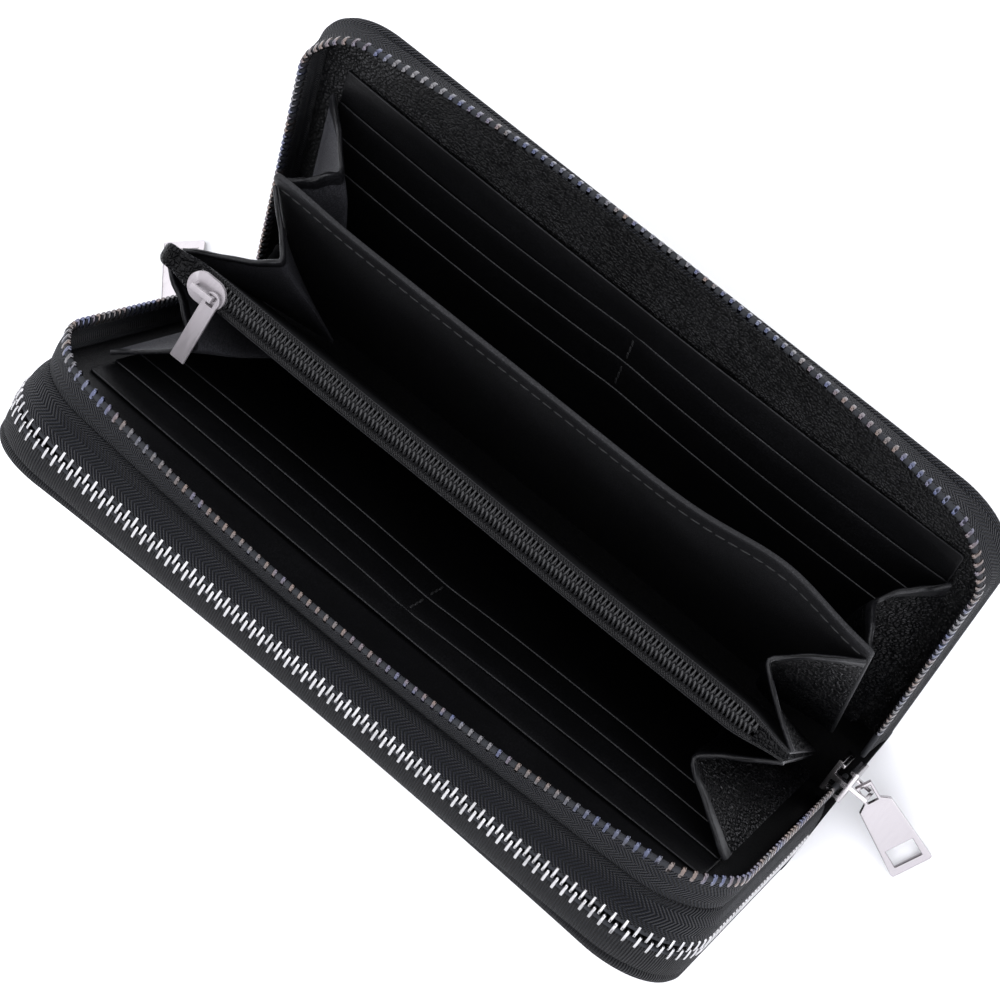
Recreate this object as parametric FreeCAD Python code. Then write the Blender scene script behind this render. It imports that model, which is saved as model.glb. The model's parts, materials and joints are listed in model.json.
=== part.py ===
import FreeCAD, Part
import os
import math

# Long double-zip wallet: three stiff leaves on a folding spine, two zip-round
# compartments, an accordion middle with a zipped coin pocket and a divider.
# Every piece is drawn with the wallet folded shut, in the frame (x, n, s):
#   x along the long side, n through the thickness, s up from the spine.
# The pieces are then turned about their fold lines into the half-open stance.

# ---------------------------------------------------------------- dimensions
LEAF_HALF = 97.2        # cover half length
LEAF_H = 104.2          # cover height above the spine
LEAF_R = 19.4           # cover corner radius
TAPE_HALF = 95.6        # outer surface of the zip tape walls
TAPE_H = 102.7
TAPE_R = 17.9
TAPE_T = 0.8            # tape thickness
FACE = 21.0             # half of the closed thickness
LEATHER_T = 1.2
BOARD_T = 0.6
LINING_T = 0.6
MID_T = 2.2             # middle leaf thickness
SEAM_N = 9.6            # plane where two zip rows meet
TOOTH_LEN = 1.6         # tooth length towards the seam plane
TOOTH_W = 1.3           # tooth width along the tape
TOOTH_THICK = 3.0       # tooth size through the tape
TOOTH_PITCH = 2.44
SEAM_GAP = 0.2
POCKET_T = 0.5          # pocket leather
POCKET_HALF = 88.0
SLIP_H = 84.0
ROW_H = (73.0, 62.5, 52.0)
INNER_HALF = 86.0       # divider and coin pocket half length
DIVIDER_H = 80.0
SPINE_T = 1.2
HINGE_N = (1.1, 7.6, 13.5)
HINGE_S = -1.2
OPEN_STEP = 16.76       # opening angle at each of the three folds
GUSSET_T = 0.5
GUSSET_PANEL = 17.5     # half panel width of a folded gusset
GUSSET_TOP = 74.0
GUSSET_BOTTOM = 6.0
PULL_LEN = 27.0
PULL_W = 11.0
PULL_NECK_W = 8.5
PULL_T = 1.2
WINDOW_W = 7.2
WINDOW_H = 5.4
ARCH_UNDER = 6.9        # inside height of the slider's arch above the tape
NECK_HALF = 2.1         # half width of the pull's eye

os.makedirs("parts", exist_ok=True)
V = FreeCAD.Vector
shapes = {}             # node name -> (body name, shape)


def add(node, body, shape):
    shapes[node] = [body, shape]


# ---------------------------------------------------------------- primitives
def box(x0, x1, n0, n1, s0, s1):
    return Part.makeBox(x1 - x0, n1 - n0, s1 - s0, V(x0, n0, s0))


def u_edges(half, h, r, s0, n, reverse=False):
    """Left side, corner, top, corner, right side of an arch in the x-s plane."""
    k = math.sqrt(0.5)
    pts = [V(-half, n, s0), V(-half, n, h - r), V(-half + r - r * k, n, h - r + r * k),
           V(-half + r, n, h), V(half - r, n, h), V(half - r + r * k, n, h - r + r * k),
           V(half, n, h - r), V(half, n, s0)]
    edges = [Part.LineSegment(pts[0], pts[1]).toShape(), Part.Arc(pts[1], pts[2], pts[3]).toShape(),
             Part.LineSegment(pts[3], pts[4]).toShape(), Part.Arc(pts[4], pts[5], pts[6]).toShape(),
             Part.LineSegment(pts[6], pts[7]).toShape()]
    return edges, pts


def plate(half, h, r, s0, n0, n1):
    edges, pts = u_edges(half, h, r, s0, n0)
    edges.append(Part.LineSegment(pts[-1], pts[0]).toShape())
    return Part.Face(Part.Wire(edges)).extrude(V(0, n1 - n0, 0))


def band(half, h, r, t, s0, n0, n1):
    """Arch-shaped wall of thickness t, its outer surface on the given outline."""
    outer, po = u_edges(half, h, r, s0, n0)
    inner, pi = u_edges(half - t, h - t, r - t, s0, n0)
    edges = outer + [Part.LineSegment(po[-1], pi[-1]).toShape()] + inner[::-1] + [Part.LineSegment(pi[0], po[0]).toShape()]
    return Part.Face(Part.Wire(edges)).extrude(V(0, n1 - n0, 0))


def prism_x(pts, x0, x1):
    """Polygon of (n, s) points, extruded along x."""
    w = Part.makePolygon([V(x0, n, s) for n, s in pts] + [V(x0, pts[0][0], pts[0][1])])
    return Part.Face(w).extrude(V(x1 - x0, 0, 0))


def arch_path(half, h, r, start, stop_right, step, shift):
    """Points and tangents along the arch from the left foot to the right foot."""
    side = h - r
    arc = math.pi / 2 * r
    top = 2 * (half - r)
    total = 2 * side + 2 * arc + top
    out = []
    d = start + shift
    while d <= total - stop_right:
        if d < side:
            p, t = (-half, d), (0, 1)
        elif d < side + arc:
            a = math.pi - (d - side) / r
            p, t = (-half + r + r * math.cos(a), h - r + r * math.sin(a)), (math.sin(a), -math.cos(a))
        elif d < side + arc + top:
            p, t = (-half + r + d - side - arc, h), (1, 0)
        elif d < side + 2 * arc + top:
            a = math.pi / 2 - (d - side - arc - top) / r
            p, t = (half - r + r * math.cos(a), h - r + r * math.sin(a)), (math.sin(a), -math.cos(a))
        else:
            p, t = (half, side - (d - side - 2 * arc - top)), (0, -1)
        out.append((p, t))
        d += step
    return out


def teeth(n0, n1, left, right, shift):
    half, h, r = TAPE_HALF - TAPE_T / 2, TAPE_H - TAPE_T / 2, TAPE_R - TAPE_T / 2
    solids = []
    for (x, s), (tx, ts) in arch_path(half, h, r, left, right, TOOTH_PITCH, shift):
        b = Part.makeBox(TOOTH_W, n1 - n0, TOOTH_THICK, V(-TOOTH_W / 2, n0, -TOOTH_THICK / 2))
        b.rotate(V(0, 0, 0), V(0, 1, 0), -math.degrees(math.atan2(ts, tx)))
        b.translate(V(x, 0, s))
        solids.append(b)
    return Part.Compound(solids)


def hinge_turn(shape, k, deg):
    """Turn about the k-th fold line; positive opens the wallet."""
    shape.rotate(V(0, HINGE_N[k], HINGE_S), V(-1, 0, 0), deg)
    return shape


# ---------------------------------------------------------------- middle leaf and its zips
NB = MID_T / 2
IN_HALF, IN_H, IN_R = TAPE_HALF - TAPE_T - 0.05, TAPE_H - TAPE_T - 0.05, TAPE_R - TAPE_T - 0.05
add("mid_board", "root", plate(IN_HALF, IN_H, IN_R, 0.0, -0.5, 0.5))
add("mid_lining_front", "root", plate(IN_HALF, IN_H, IN_R, 0.0, -NB, -0.5))
add("mid_lining_back", "root", plate(IN_HALF, IN_H, IN_R, 0.35, 0.5, NB))
add("mid_slip_pocket", "root", box(-POCKET_HALF, POCKET_HALF, NB, NB + POCKET_T, 4.0, SLIP_H))
for i, h in enumerate(ROW_H):
    add("mid_card_row_%d" % (i + 1), "root",
        box(-POCKET_HALF, POCKET_HALF, NB + POCKET_T * (i + 1), NB + POCKET_T * (i + 2), 4.0 + 0.5 * i, h))
TAPE_EDGE = SEAM_N - SEAM_GAP - TOOTH_LEN
add("zip_a_tape_mid", "root", band(TAPE_HALF, TAPE_H, TAPE_R, TAPE_T, 0.0, -TAPE_EDGE, -0.1))
add("zip_b_tape_mid", "root", band(TAPE_HALF, TAPE_H, TAPE_R, TAPE_T, 0.35, 0.1, TAPE_EDGE))
add("zip_a_teeth_mid", "root", teeth(-SEAM_N + SEAM_GAP, -TAPE_EDGE, 15.5, 6.0, 0.0))
add("zip_b_teeth_mid", "root", teeth(TAPE_EDGE, SEAM_N - SEAM_GAP, 6.0, 15.5, 0.0))
add("spine_leather", "root", box(-LEAF_HALF, LEAF_HALF, -FACE, HINGE_N[0] - 0.15, -SPINE_T, 0.0))

# ---------------------------------------------------------------- front cover
F_IN = FACE - LEATHER_T - BOARD_T - LINING_T
F_BOARD = FACE - LEATHER_T - BOARD_T
F_LEATHER = FACE - LEATHER_T
add("front_leather", "front_cover", plate(LEAF_HALF, LEAF_H, LEAF_R, 0.4, -FACE, -F_LEATHER))
add("front_board", "front_cover", plate(LEAF_HALF - 0.6, LEAF_H - 0.6, LEAF_R - 0.6, 0.6, -F_LEATHER, -F_BOARD))
add("front_lining", "front_cover", plate(IN_HALF, IN_H, IN_R, 0.6, -F_BOARD, -F_IN))
add("front_inner_pocket", "front_cover", box(-POCKET_HALF, POCKET_HALF, -F_IN, -F_IN + POCKET_T, 4.0, 78.0))
N_FAR = 2 * SEAM_N - TAPE_EDGE
add("zip_a_tape_front", "front_cover", band(TAPE_HALF, TAPE_H, TAPE_R, TAPE_T, 0.6, -F_BOARD, -N_FAR))
add("zip_a_teeth_front", "front_cover", teeth(-N_FAR, -SEAM_N - SEAM_GAP, 15.5, 6.0, TOOTH_PITCH / 2))

# ---------------------------------------------------------------- back leaf
add("back_leather", "back_leaf", plate(LEAF_HALF, LEAF_H, LEAF_R, 0.0, F_LEATHER, FACE))
add("back_board", "back_leaf", plate(LEAF_HALF - 0.6, LEAF_H - 0.6, LEAF_R - 0.6, 0.0, F_BOARD, F_LEATHER))
add("back_lining", "back_leaf", plate(IN_HALF, IN_H, IN_R, 0.0, F_IN, F_BOARD))
add("back_slip_pocket", "back_leaf", box(-POCKET_HALF, POCKET_HALF, F_IN - POCKET_T, F_IN, 4.0, SLIP_H))
for i, h in enumerate(ROW_H):
    add("back_card_row_%d" % (i + 1), "back_leaf",
        box(-POCKET_HALF, POCKET_HALF, F_IN - POCKET_T * (i + 2), F_IN - POCKET_T * (i + 1), 4.0 + 0.5 * i, h))
add("zip_b_tape_back", "back_leaf", band(TAPE_HALF, TAPE_H, TAPE_R, TAPE_T, 0.0, N_FAR, F_BOARD))
add("zip_b_teeth_back", "back_leaf", teeth(SEAM_N + SEAM_GAP, N_FAR, 6.0, 15.5, TOOTH_PITCH / 2))
add("spine_strip_back", "back_leaf", box(-LEAF_HALF, LEAF_HALF, HINGE_N[2] + 0.15, FACE, -SPINE_T, 0.0))

# ---------------------------------------------------------------- coin pocket
X0, X1 = -INNER_HALF, INNER_HALF
add("spine_strip_coin", "coin_pocket", box(-94.0, 94.0, HINGE_N[0] + 0.15, HINGE_N[1] - 0.15, -SPINE_T, 0.0))
add("coin_front_panel", "coin_pocket", prism_x([(5.2, 0.0), (5.7, 0.0), (4.4, 78.4), (3.9, 78.4)], X0, X1))
add("coin_back_panel", "coin_pocket", prism_x([(6.4, 0.0), (6.9, 0.0), (11.4, 81.4), (10.9, 81.2)], X0, X1))
add("coin_seam_left", "coin_pocket", prism_x([(5.72, 2.0), (6.48, 2.0), (10.6, 77.6), (4.45, 77.6)], X0, X0 + 1.2))
add("coin_seam_right", "coin_pocket", prism_x([(5.72, 2.0), (6.48, 2.0), (10.6, 77.6), (4.45, 77.6)], X1 - 1.2, X1))
BS = (81.4 - 78.4) / (11.4 - 3.9)          # slope of the mouth


def mouth(n0, n1, lo, hi, x0, x1):
    z = lambda n: 78.4 + (n - 3.9) * BS
    return prism_x([(n0, z(n0) + lo), (n1, z(n1) + lo), (n1, z(n1) + hi), (n0, z(n0) + hi)], x0, x1)


add("coin_zip_tape_front", "coin_pocket", mouth(3.9, 5.7, 0.02, 0.6, X0, X1))
add("coin_zip_tape_back", "coin_pocket", mouth(9.9, 11.4, 0.02, 0.6, X0, X1))
add("coin_coil_front", "coin_pocket", mouth(5.7, 7.2, 0.02, 1.3, X0 + 4.0, X1 - 8.0))
add("coin_coil_back", "coin_pocket", mouth(8.4, 9.9, 0.02, 1.3, X0 + 4.0, X1 - 8.0))
add("coin_zip_tab", "coin_pocket", mouth(5.75, 9.85, 0.02, 0.8, X1 - 7.9, X1))

# ---------------------------------------------------------------- divider
add("spine_strip_divider", "divider", box(-94.0, 94.0, HINGE_N[1] + 0.15, HINGE_N[2] - 0.15, -SPINE_T, 0.0))
add("divider_board", "divider", box(X0, X1, 12.35, 12.85, 0.0, DIVIDER_H - 0.6))
add("divider_leather", "divider", prism_x([(12.0, 0.0), (12.35, 0.0), (12.35, DIVIDER_H - 0.6), (12.85, DIVIDER_H - 0.6),
                                          (12.85, 0.0), (13.2, 0.0), (13.2, DIVIDER_H), (12.0, DIVIDER_H)], X0, X1))


# ---------------------------------------------------------------- zip sliders and pulls
def slider_body(side, seam, s0, wedge_up):
    """Two plates round a zip row on a leaf end; side is -1 or +1 along x."""
    xo = TAPE_HALF - TAPE_T / 2                      # middle of the tape
    def bx(a, b, n0, n1, s_0, s_1):                  # a and b measured outwards from the tape
        lo, hi = sorted((side * (xo + a), side * (xo + b)))
        return box(lo, hi, n0, n1, s_0, s_1)
    outer = bx(1.85, 2.95, seam - 4.3, seam + 4.3, s0, s0 + 9.0)
    inner = bx(-2.95, -1.85, seam - 4.3, seam + 4.3, s0, s0 + 9.0)
    sw = (s0 + 6.8, s0 + 9.0) if wedge_up else (s0, s0 + 2.2)
    wedge = bx(-1.85, 1.85, seam - 0.7, seam + 0.7, sw[0], sw[1])
    flange = [bx(0.85, 1.85, seam + e * 3.55 - 0.45, seam + e * 3.55 + 0.45, s0, s0 + 9.0) for e in (-1, 1)]
    flange += [bx(-1.85, -0.85, seam + e * 3.55 - 0.45, seam + e * 3.55 + 0.45, s0, s0 + 9.0) for e in (-1, 1)]
    post1 = bx(2.95, ARCH_UNDER, seam - 0.5, seam + 0.5, s0 + 0.2, s0 + 1.2)
    post2 = bx(2.95, ARCH_UNDER, seam - 0.5, seam + 0.5, s0 + 7.4, s0 + 8.4)
    strip = bx(ARCH_UNDER, ARCH_UNDER + 0.9, seam - 0.5, seam + 0.5, s0 + 0.2, s0 + 8.4)
    body = outer.multiFuse([inner, wedge, post1, post2, strip] + flange)
    return body.removeSplitter()


def pull_shape(length, w_end, w_neck, t, win_w, win_h):
    """Flat pull along +X from its cross bar at the origin, thickness along Z."""
    n = NECK_HALF
    pts = [(-0.5, -n), (-0.5, n), (4.6, n), (6.4, w_neck / 2), (length, w_end / 2), (length, -w_end / 2), (6.4, -w_neck / 2), (4.6, -n)]
    w = Part.makePolygon([V(x, y, -t / 2) for x, y in pts] + [V(pts[0][0], pts[0][1], -t / 2)])
    p = Part.Face(w).extrude(V(0, 0, t))
    win = Part.makeBox(win_h, win_w, 3 * t, V(length - win_h - 2.2, -win_w / 2, -1.5 * t))
    slot = Part.makeBox(4.6, 2 * n - 1.5, 3 * t, V(0.4, -n + 0.75, -1.5 * t))
    p = p.cut(win).cut(slot)
    edges = [e for e in p.Edges if abs(e.Vertexes[0].Z - e.Vertexes[-1].Z) > t * 0.9 and e.Vertexes[0].X > length - 1]
    try:
        p = p.makeFillet(0.8, edges)
    except Exception:
        pass
    return p


STANCE = None


def stance_point(n, s):
    """Half-open rest position of a slab point, before the origin is set."""
    a = math.radians(STANCE)
    return ((n + FACE) * math.cos(a) - (s + SPINE_T) * math.sin(a), (n + FACE) * math.sin(a) + (s + SPINE_T) * math.cos(a))


# floor contact: bottom edge of the front and bottom edge of the back cover
p = V(0, FACE, -SPINE_T)
for k in (2, 1, 0):
    c = V(0, HINGE_N[k], HINGE_S)
    th = math.radians(OPEN_STEP)
    d = p - c
    p = V(0, c.y + d.y * math.cos(th) + d.z * math.sin(th), c.z - d.y * math.sin(th) + d.z * math.cos(th))
STANCE = math.degrees(math.atan2(-(p.z + SPINE_T), p.y + FACE))

SB = 2.4                                             # slider foot height
add("slider_a", "slider_a", slider_body(-1, -SEAM_N, SB, False))
add("slider_b", "slider_b", slider_body(1, SEAM_N, SB, True))

# coin slider: oval plate over the coil, post between the rows, plate beneath
cs_x = X0 + 9.0


def oval(x, n, s, lx, ln, t):
    b = Part.makeBox(lx - ln, ln, t, V(x - (lx - ln) / 2, n - ln / 2, s))
    c1 = Part.makeCylinder(ln / 2, t, V(x - (lx - ln) / 2, n, s))
    c2 = Part.makeCylinder(ln / 2, t, V(x + (lx - ln) / 2, n, s))
    return b.multiFuse([c1, c2]).removeSplitter()


cm = 78.4 + (7.8 - 3.9) * BS
top = oval(cs_x, 7.8, cm + 2.3, 10.0, 7.2, 0.9)
low = oval(cs_x, 7.8, cm - 1.9, 8.6, 4.6, 0.7)
post = box(cs_x - 4.0, cs_x - 2.6, 7.65, 7.95, cm - 1.3, cm + 2.4)
lug1 = box(cs_x - 3.0, cs_x - 2.2, 7.1, 8.5, cm + 3.1, cm + 5.0)
lug2 = box(cs_x + 2.2, cs_x + 3.0, 7.1, 8.5, cm + 3.1, cm + 5.0)
bar = box(cs_x - 3.0, cs_x + 3.0, 7.1, 8.5, cm + 5.0, cm + 5.7)
cslider = top.multiFuse([low, post, lug1, lug2, bar]).removeSplitter()
cslider.rotate(V(cs_x, 7.8, cm), V(1, 0, 0), math.degrees(math.atan(BS)))
add("coin_slider", "coin_slider", cslider)

# ---------------------------------------------------------------- into the half-open stance
order = {"root": 0, "front_cover": 0, "slider_a": 0, "slider_b": 0, "coin_pocket": 1, "coin_slider": 1, "divider": 2, "back_leaf": 3}
for node, (body, sh) in shapes.items():
    for k in range(order[body] - 1, -1, -1):
        hinge_turn(sh, k, OPEN_STEP)
    sh.translate(V(0, FACE, SPINE_T))
    sh.rotate(V(0, 0, 0), V(1, 0, 0), STANCE)


def place_point(x, n, s, level):
    """World position of a closed-frame point carried by the body at this level."""
    y, z = n, s
    th = math.radians(OPEN_STEP)
    for k in range(level - 1, -1, -1):
        dy, dz = y - HINGE_N[k], z - HINGE_S
        y, z = HINGE_N[k] + dy * math.cos(th) + dz * math.sin(th), HINGE_S - dy * math.sin(th) + dz * math.cos(th)
    y, z = stance_point(y, z)
    return V(x, y, z)


# pulls, lying from their sliders down to the surface
def lay_pull(shape, at, yaw, end_z, length, t):
    """Turn a flat pull so that its far end rests at end_z."""
    drop = math.degrees(math.asin((at.z - end_z) / length))
    shape.rotate(V(0, 0, 0), V(0, 1, 0), drop)
    shape.rotate(V(0, 0, 0), V(0, 0, 1), yaw)
    shape.translate(at)
    return shape


XB = TAPE_HALF - TAPE_T / 2 + (2.95 + ARCH_UNDER) / 2
pull_yaw_b, pull_yaw_a = -24.0, 180.0 - 50.0
at_b = place_point(XB, SEAM_N, SB + 4.2, 0) + V(0, 1.15, 0)
at_a = place_point(-XB, -SEAM_N, SB + 4.2, 0) + V(-0.4, -2.4, 0)
end_b = PULL_T / 2 + 0.05
add("pull_b", "pull_b", lay_pull(pull_shape(PULL_LEN, PULL_W, PULL_NECK_W, PULL_T, WINDOW_W, WINDOW_H), at_b, pull_yaw_b, end_b, PULL_LEN, PULL_T))
add("pull_a", "pull_a", lay_pull(pull_shape(PULL_LEN, PULL_W, PULL_NECK_W, PULL_T, WINDOW_W, WINDOW_H), at_a, pull_yaw_a, end_b, PULL_LEN, PULL_T))
mouth_tilt = math.atan(BS)
at_c = place_point(cs_x + 2.6, 7.8 - 4.1 * math.sin(mouth_tilt), cm + 4.1 * math.cos(mouth_tilt), 1)


def coin_pull_shape():
    blade = Part.makeBox(16.2, 3.9, 0.8, V(1.0, -1.95, -0.4))
    ring = Part.makeCylinder(2.1, 0.8, V(0.55, 0, -0.4))
    hole = Part.makeBox(2.7, 1.9, 3.0, V(-0.8, -0.95, -1.5))
    return blade.fuse(ring).cut(hole).removeSplitter()


coin_tilt = math.degrees(mouth_tilt) - OPEN_STEP + STANCE      # slope of the mouth in the stance
cp = coin_pull_shape()
cp.rotate(V(0, 0, 0), V(0, 0, 1), -90.0)
cp.rotate(V(0, 0, 0), V(1, 0, 0), coin_tilt)
cp.translate(at_c)
add("coin_pull", "coin_pull", cp)


# ---------------------------------------------------------------- accordion gussets
def gusset(side, n_a, lev_a, xa, n_b, lev_b, xb, s_top, s_bot, panel):
    """V-folded strip between two leaves; the fold points into the wallet."""
    secs = []
    steps = 6
    for i in range(steps + 1):
        t = i / float(steps)
        s = s_bot + (s_top - s_bot) * t
        a = place_point(side * xa, n_a[0] + (n_a[1] - n_a[0]) * t, s, lev_a)
        b = place_point(side * xb, n_b[0] + (n_b[1] - n_b[0]) * t, s, lev_b)
        m = (a + b) * 0.5
        gap = V(0, b.y - a.y, b.z - a.z)
        half = gap.Length / 2
        depth = math.sqrt(panel ** 2 - half ** 2)
        fold = V((a.x + b.x) / 2 - side * depth, m.y, m.z)
        u = V(gap.x / (2 * half), gap.y / (2 * half), gap.z / (2 * half))
        edge = min(GUSSET_T * panel / depth, 0.8 * half)          # thickness measured across the opening
        wide = edge * depth / half                                # the same layer measured along the fold
        outer = V(fold.x + side * wide, fold.y, fold.z)
        a2 = a + u * edge
        b2 = b - u * edge
        secs.append([a, fold, b, b2, outer, a2])
    faces = []
    def tri(p, q, r):
        return Part.Face(Part.makePolygon([p, q, r, p]))
    # both layers of a panel are split along the same diagonal, so they never cross
    split = (1, 2, 1, 1, 2, 1)
    for lo, hi in zip(secs[:-1], secs[1:]):
        for i in range(6):
            j = (i + 1) % 6
            if split[i] == 1:
                faces += [tri(lo[i], lo[j], hi[j]), tri(lo[i], hi[j], hi[i])]
            else:
                faces += [tri(lo[i], lo[j], hi[i]), tri(lo[j], hi[j], hi[i])]
    for sec in (secs[0], secs[-1]):
        a, fold, b, b2, outer, a2 = sec
        faces += [tri(a, fold, a2), tri(a2, fold, outer), tri(fold, b, b2), tri(fold, b2, outer)]
    sh = Part.Shell(faces)
    so = Part.Solid(sh)
    if so.Volume < 0:
        so.reverse()
    return so


STACK = NB + 4 * POCKET_T + 0.4
for side, word in ((-1, "left"), (1, "right")):
    add("gusset_mid_" + word, "coin_pocket", gusset(side, (STACK, STACK), 0, 89.5, (4.7, 3.5), 1, 87.2, GUSSET_TOP, GUSSET_BOTTOM, GUSSET_PANEL))
    add("gusset_coin_" + word, "divider", gusset(side, (7.5, 11.4), 1, 87.2, (11.6, 11.6), 2, 87.2, GUSSET_TOP, GUSSET_BOTTOM, GUSSET_PANEL))
    add("gusset_back_" + word, "back_leaf", gusset(side, (13.6, 13.6), 2, 87.2, (F_IN - 4 * POCKET_T - 0.4,) * 2, 3, 89.5, GUSSET_TOP, GUSSET_BOTTOM, GUSSET_PANEL))
    add("gusset_front_" + word, "front_cover", gusset(side, (-F_IN + POCKET_T + 0.4,) * 2, 0, 89.5, (-NB - 0.4,) * 2, 0, 89.5, GUSSET_TOP, GUSSET_BOTTOM, GUSSET_PANEL))

# ---------------------------------------------------------------- origin and export
everything = Part.Compound([s for _, s in shapes.values()])
bb = everything.BoundBox
SHIFT = V(-(bb.XMin + bb.XMax) / 2, -(bb.YMin + bb.YMax) / 2, -bb.ZMin)
print("BOX", round(bb.XLength, 3), round(bb.YLength, 3), round(bb.ZLength, 3), "SHIFT", SHIFT.x, SHIFT.y, SHIFT.z, "STANCE", STANCE)
for node, (body, sh) in shapes.items():
    sh.translate(SHIFT)
    ok = sh.isValid()
    vol = sh.Volume
    sh.exportStep("parts/%s.step" % node)
    if not ok or vol <= 0:
        print("PROBLEM", node, ok, vol)


def out(name, v):
    w = v + SHIFT
    print("POINT", name, round(w.x, 4), round(w.y, 4), round(w.z, 4))


out("fold_coin", place_point(0, HINGE_N[0], HINGE_S, 0))
out("fold_divider", place_point(0, HINGE_N[1], HINGE_S, 1))
out("fold_back", place_point(0, HINGE_N[2], HINGE_S, 2))
out("front_hinge", place_point(0, -FACE, 0.0, 0))
out("pull_a_bar", at_a)
out("pull_b_bar", at_b)
out("coin_pull_bar", at_c)
print("POINT coin_swivel_axis 0", round(-math.sin(math.radians(coin_tilt)), 6), round(math.cos(math.radians(coin_tilt)), 6))
for lvl, nm in ((0, "slab"), (1, "coin"), (2, "divider"), (3, "back")):
    o = place_point(0, 0, 0, lvl)
    out("frame_" + nm + "_o", o)
    out("frame_" + nm + "_n", place_point(0, 1, 0, lvl))
    out("frame_" + nm + "_s", place_point(0, 0, 1, lvl))
print("NODES", len(shapes))
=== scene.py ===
import bpy, bmesh, json, math
import numpy as np
from mathutils import Vector, Matrix

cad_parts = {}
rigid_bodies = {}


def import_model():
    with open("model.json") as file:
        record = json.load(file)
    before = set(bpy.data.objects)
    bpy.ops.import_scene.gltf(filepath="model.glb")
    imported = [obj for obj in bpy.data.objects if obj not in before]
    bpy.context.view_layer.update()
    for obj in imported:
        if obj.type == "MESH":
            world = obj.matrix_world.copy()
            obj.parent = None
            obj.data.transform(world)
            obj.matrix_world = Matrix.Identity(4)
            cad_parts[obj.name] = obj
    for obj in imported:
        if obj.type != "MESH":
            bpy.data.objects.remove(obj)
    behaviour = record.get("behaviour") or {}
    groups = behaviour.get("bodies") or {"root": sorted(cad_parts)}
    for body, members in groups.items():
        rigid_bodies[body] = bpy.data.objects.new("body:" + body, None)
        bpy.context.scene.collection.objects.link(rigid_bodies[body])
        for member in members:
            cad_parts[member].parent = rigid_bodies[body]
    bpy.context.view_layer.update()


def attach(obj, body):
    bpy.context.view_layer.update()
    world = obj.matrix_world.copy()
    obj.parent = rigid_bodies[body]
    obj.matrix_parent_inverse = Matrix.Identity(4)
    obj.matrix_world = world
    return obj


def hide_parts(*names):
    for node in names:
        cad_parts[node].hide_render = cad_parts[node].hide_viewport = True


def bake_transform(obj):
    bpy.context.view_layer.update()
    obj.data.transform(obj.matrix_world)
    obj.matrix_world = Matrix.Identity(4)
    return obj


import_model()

# Long double-zip wallet. Everything is drawn in millimetres in the folded-shut
# frame (x along, n through the thickness, s up from the spine), then turned
# about the fold lines into the stance of the CAD model.
SHIFT_X, SHIFT_Y = -1.046144, -34.951758
STANCE = math.radians(15.992820)
STEP = math.radians(16.76)
HINGE_N = (1.1, 7.6, 13.5)
HINGE_S = -1.2
PITCH = 2.44


def place(x, n, s, level):
    x, n, s = np.broadcast_arrays(np.asarray(x, float), np.asarray(n, float), np.asarray(s, float))
    c, k = math.cos(STEP), math.sin(STEP)
    for i in range(level - 1, -1, -1):
        dn, ds = n - HINGE_N[i], s - HINGE_S
        n, s = HINGE_N[i] + dn * c + ds * k, HINGE_S - dn * k + ds * c
    c, k = math.cos(STANCE), math.sin(STANCE)
    y = (n + 21) * c - (s + 1.2) * k
    z = (n + 21) * k + (s + 1.2) * c
    return np.stack([x + SHIFT_X, y + SHIFT_Y, z], -1) * 0.001


def vec(x, n, s, level):
    return Vector(place(x, n, s, level).tolist())


# ------------------------------------------------------------------ mesh helpers
def make(name, verts, faces, mats, smooth=35, uv=None, findex=None):
    me = bpy.data.meshes.new(name)
    me.from_pydata([tuple(v) for v in np.asarray(verts, float)], [], faces)
    if uv is not None:
        layer = me.uv_layers.new(name="UVMap")
        idx = np.zeros(len(me.loops), int)
        me.loops.foreach_get("vertex_index", idx)
        layer.data.foreach_set("uv", np.asarray(uv, np.float32)[idx].ravel())
    for m in mats if isinstance(mats, (list, tuple)) else [mats]:
        me.materials.append(m)
    if findex is not None:
        me.polygons.foreach_set("material_index", np.asarray(findex, np.int32))
    bm = bmesh.new()
    bm.from_mesh(me)
    bmesh.ops.recalc_face_normals(bm, faces=bm.faces)
    for f in bm.faces:
        f.smooth = True
    lim = math.radians(smooth)
    for e in bm.edges:
        if len(e.link_faces) == 2 and e.calc_face_angle(0) > lim:
            e.smooth = False
    bm.to_mesh(me)
    bm.free()
    ob = bpy.data.objects.new(name, me)
    bpy.context.scene.collection.objects.link(ob)
    return ob


def loft(P, closed=True, caps=True, ring=False):
    """P[A, B, 3]: a loop of B points at each of A stations. Returns verts, faces."""
    A, B = P.shape[:2]
    faces = []
    bb = B if closed else B - 1
    for i in range(A if ring else A - 1):
        i2 = (i + 1) % A
        for j in range(bb):
            k = (j + 1) % B
            faces.append((i * B + j, i * B + k, i2 * B + k, i2 * B + j))
    if caps and closed and not ring:
        faces.append(tuple(range(B)))
        faces.append(tuple((A - 1) * B + j for j in reversed(range(B))))
    return P.reshape(-1, 3), faces


def ribbon_loop(C, half):
    """C[A, m, 2] a centreline in a plane at each station, half[m] or [A, m] its half thickness.
    Returns the loop [A, 2m, 2] round it."""
    d = np.gradient(C, axis=1)
    d /= np.maximum(np.linalg.norm(d, axis=2, keepdims=True), 1e-9)
    nrm = np.stack([-d[..., 1], d[..., 0]], -1)
    h = np.broadcast_to(half, C.shape[:2])[..., None]
    return np.concatenate([C + nrm * h, (C - nrm * h)[:, ::-1]], 1)


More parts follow.
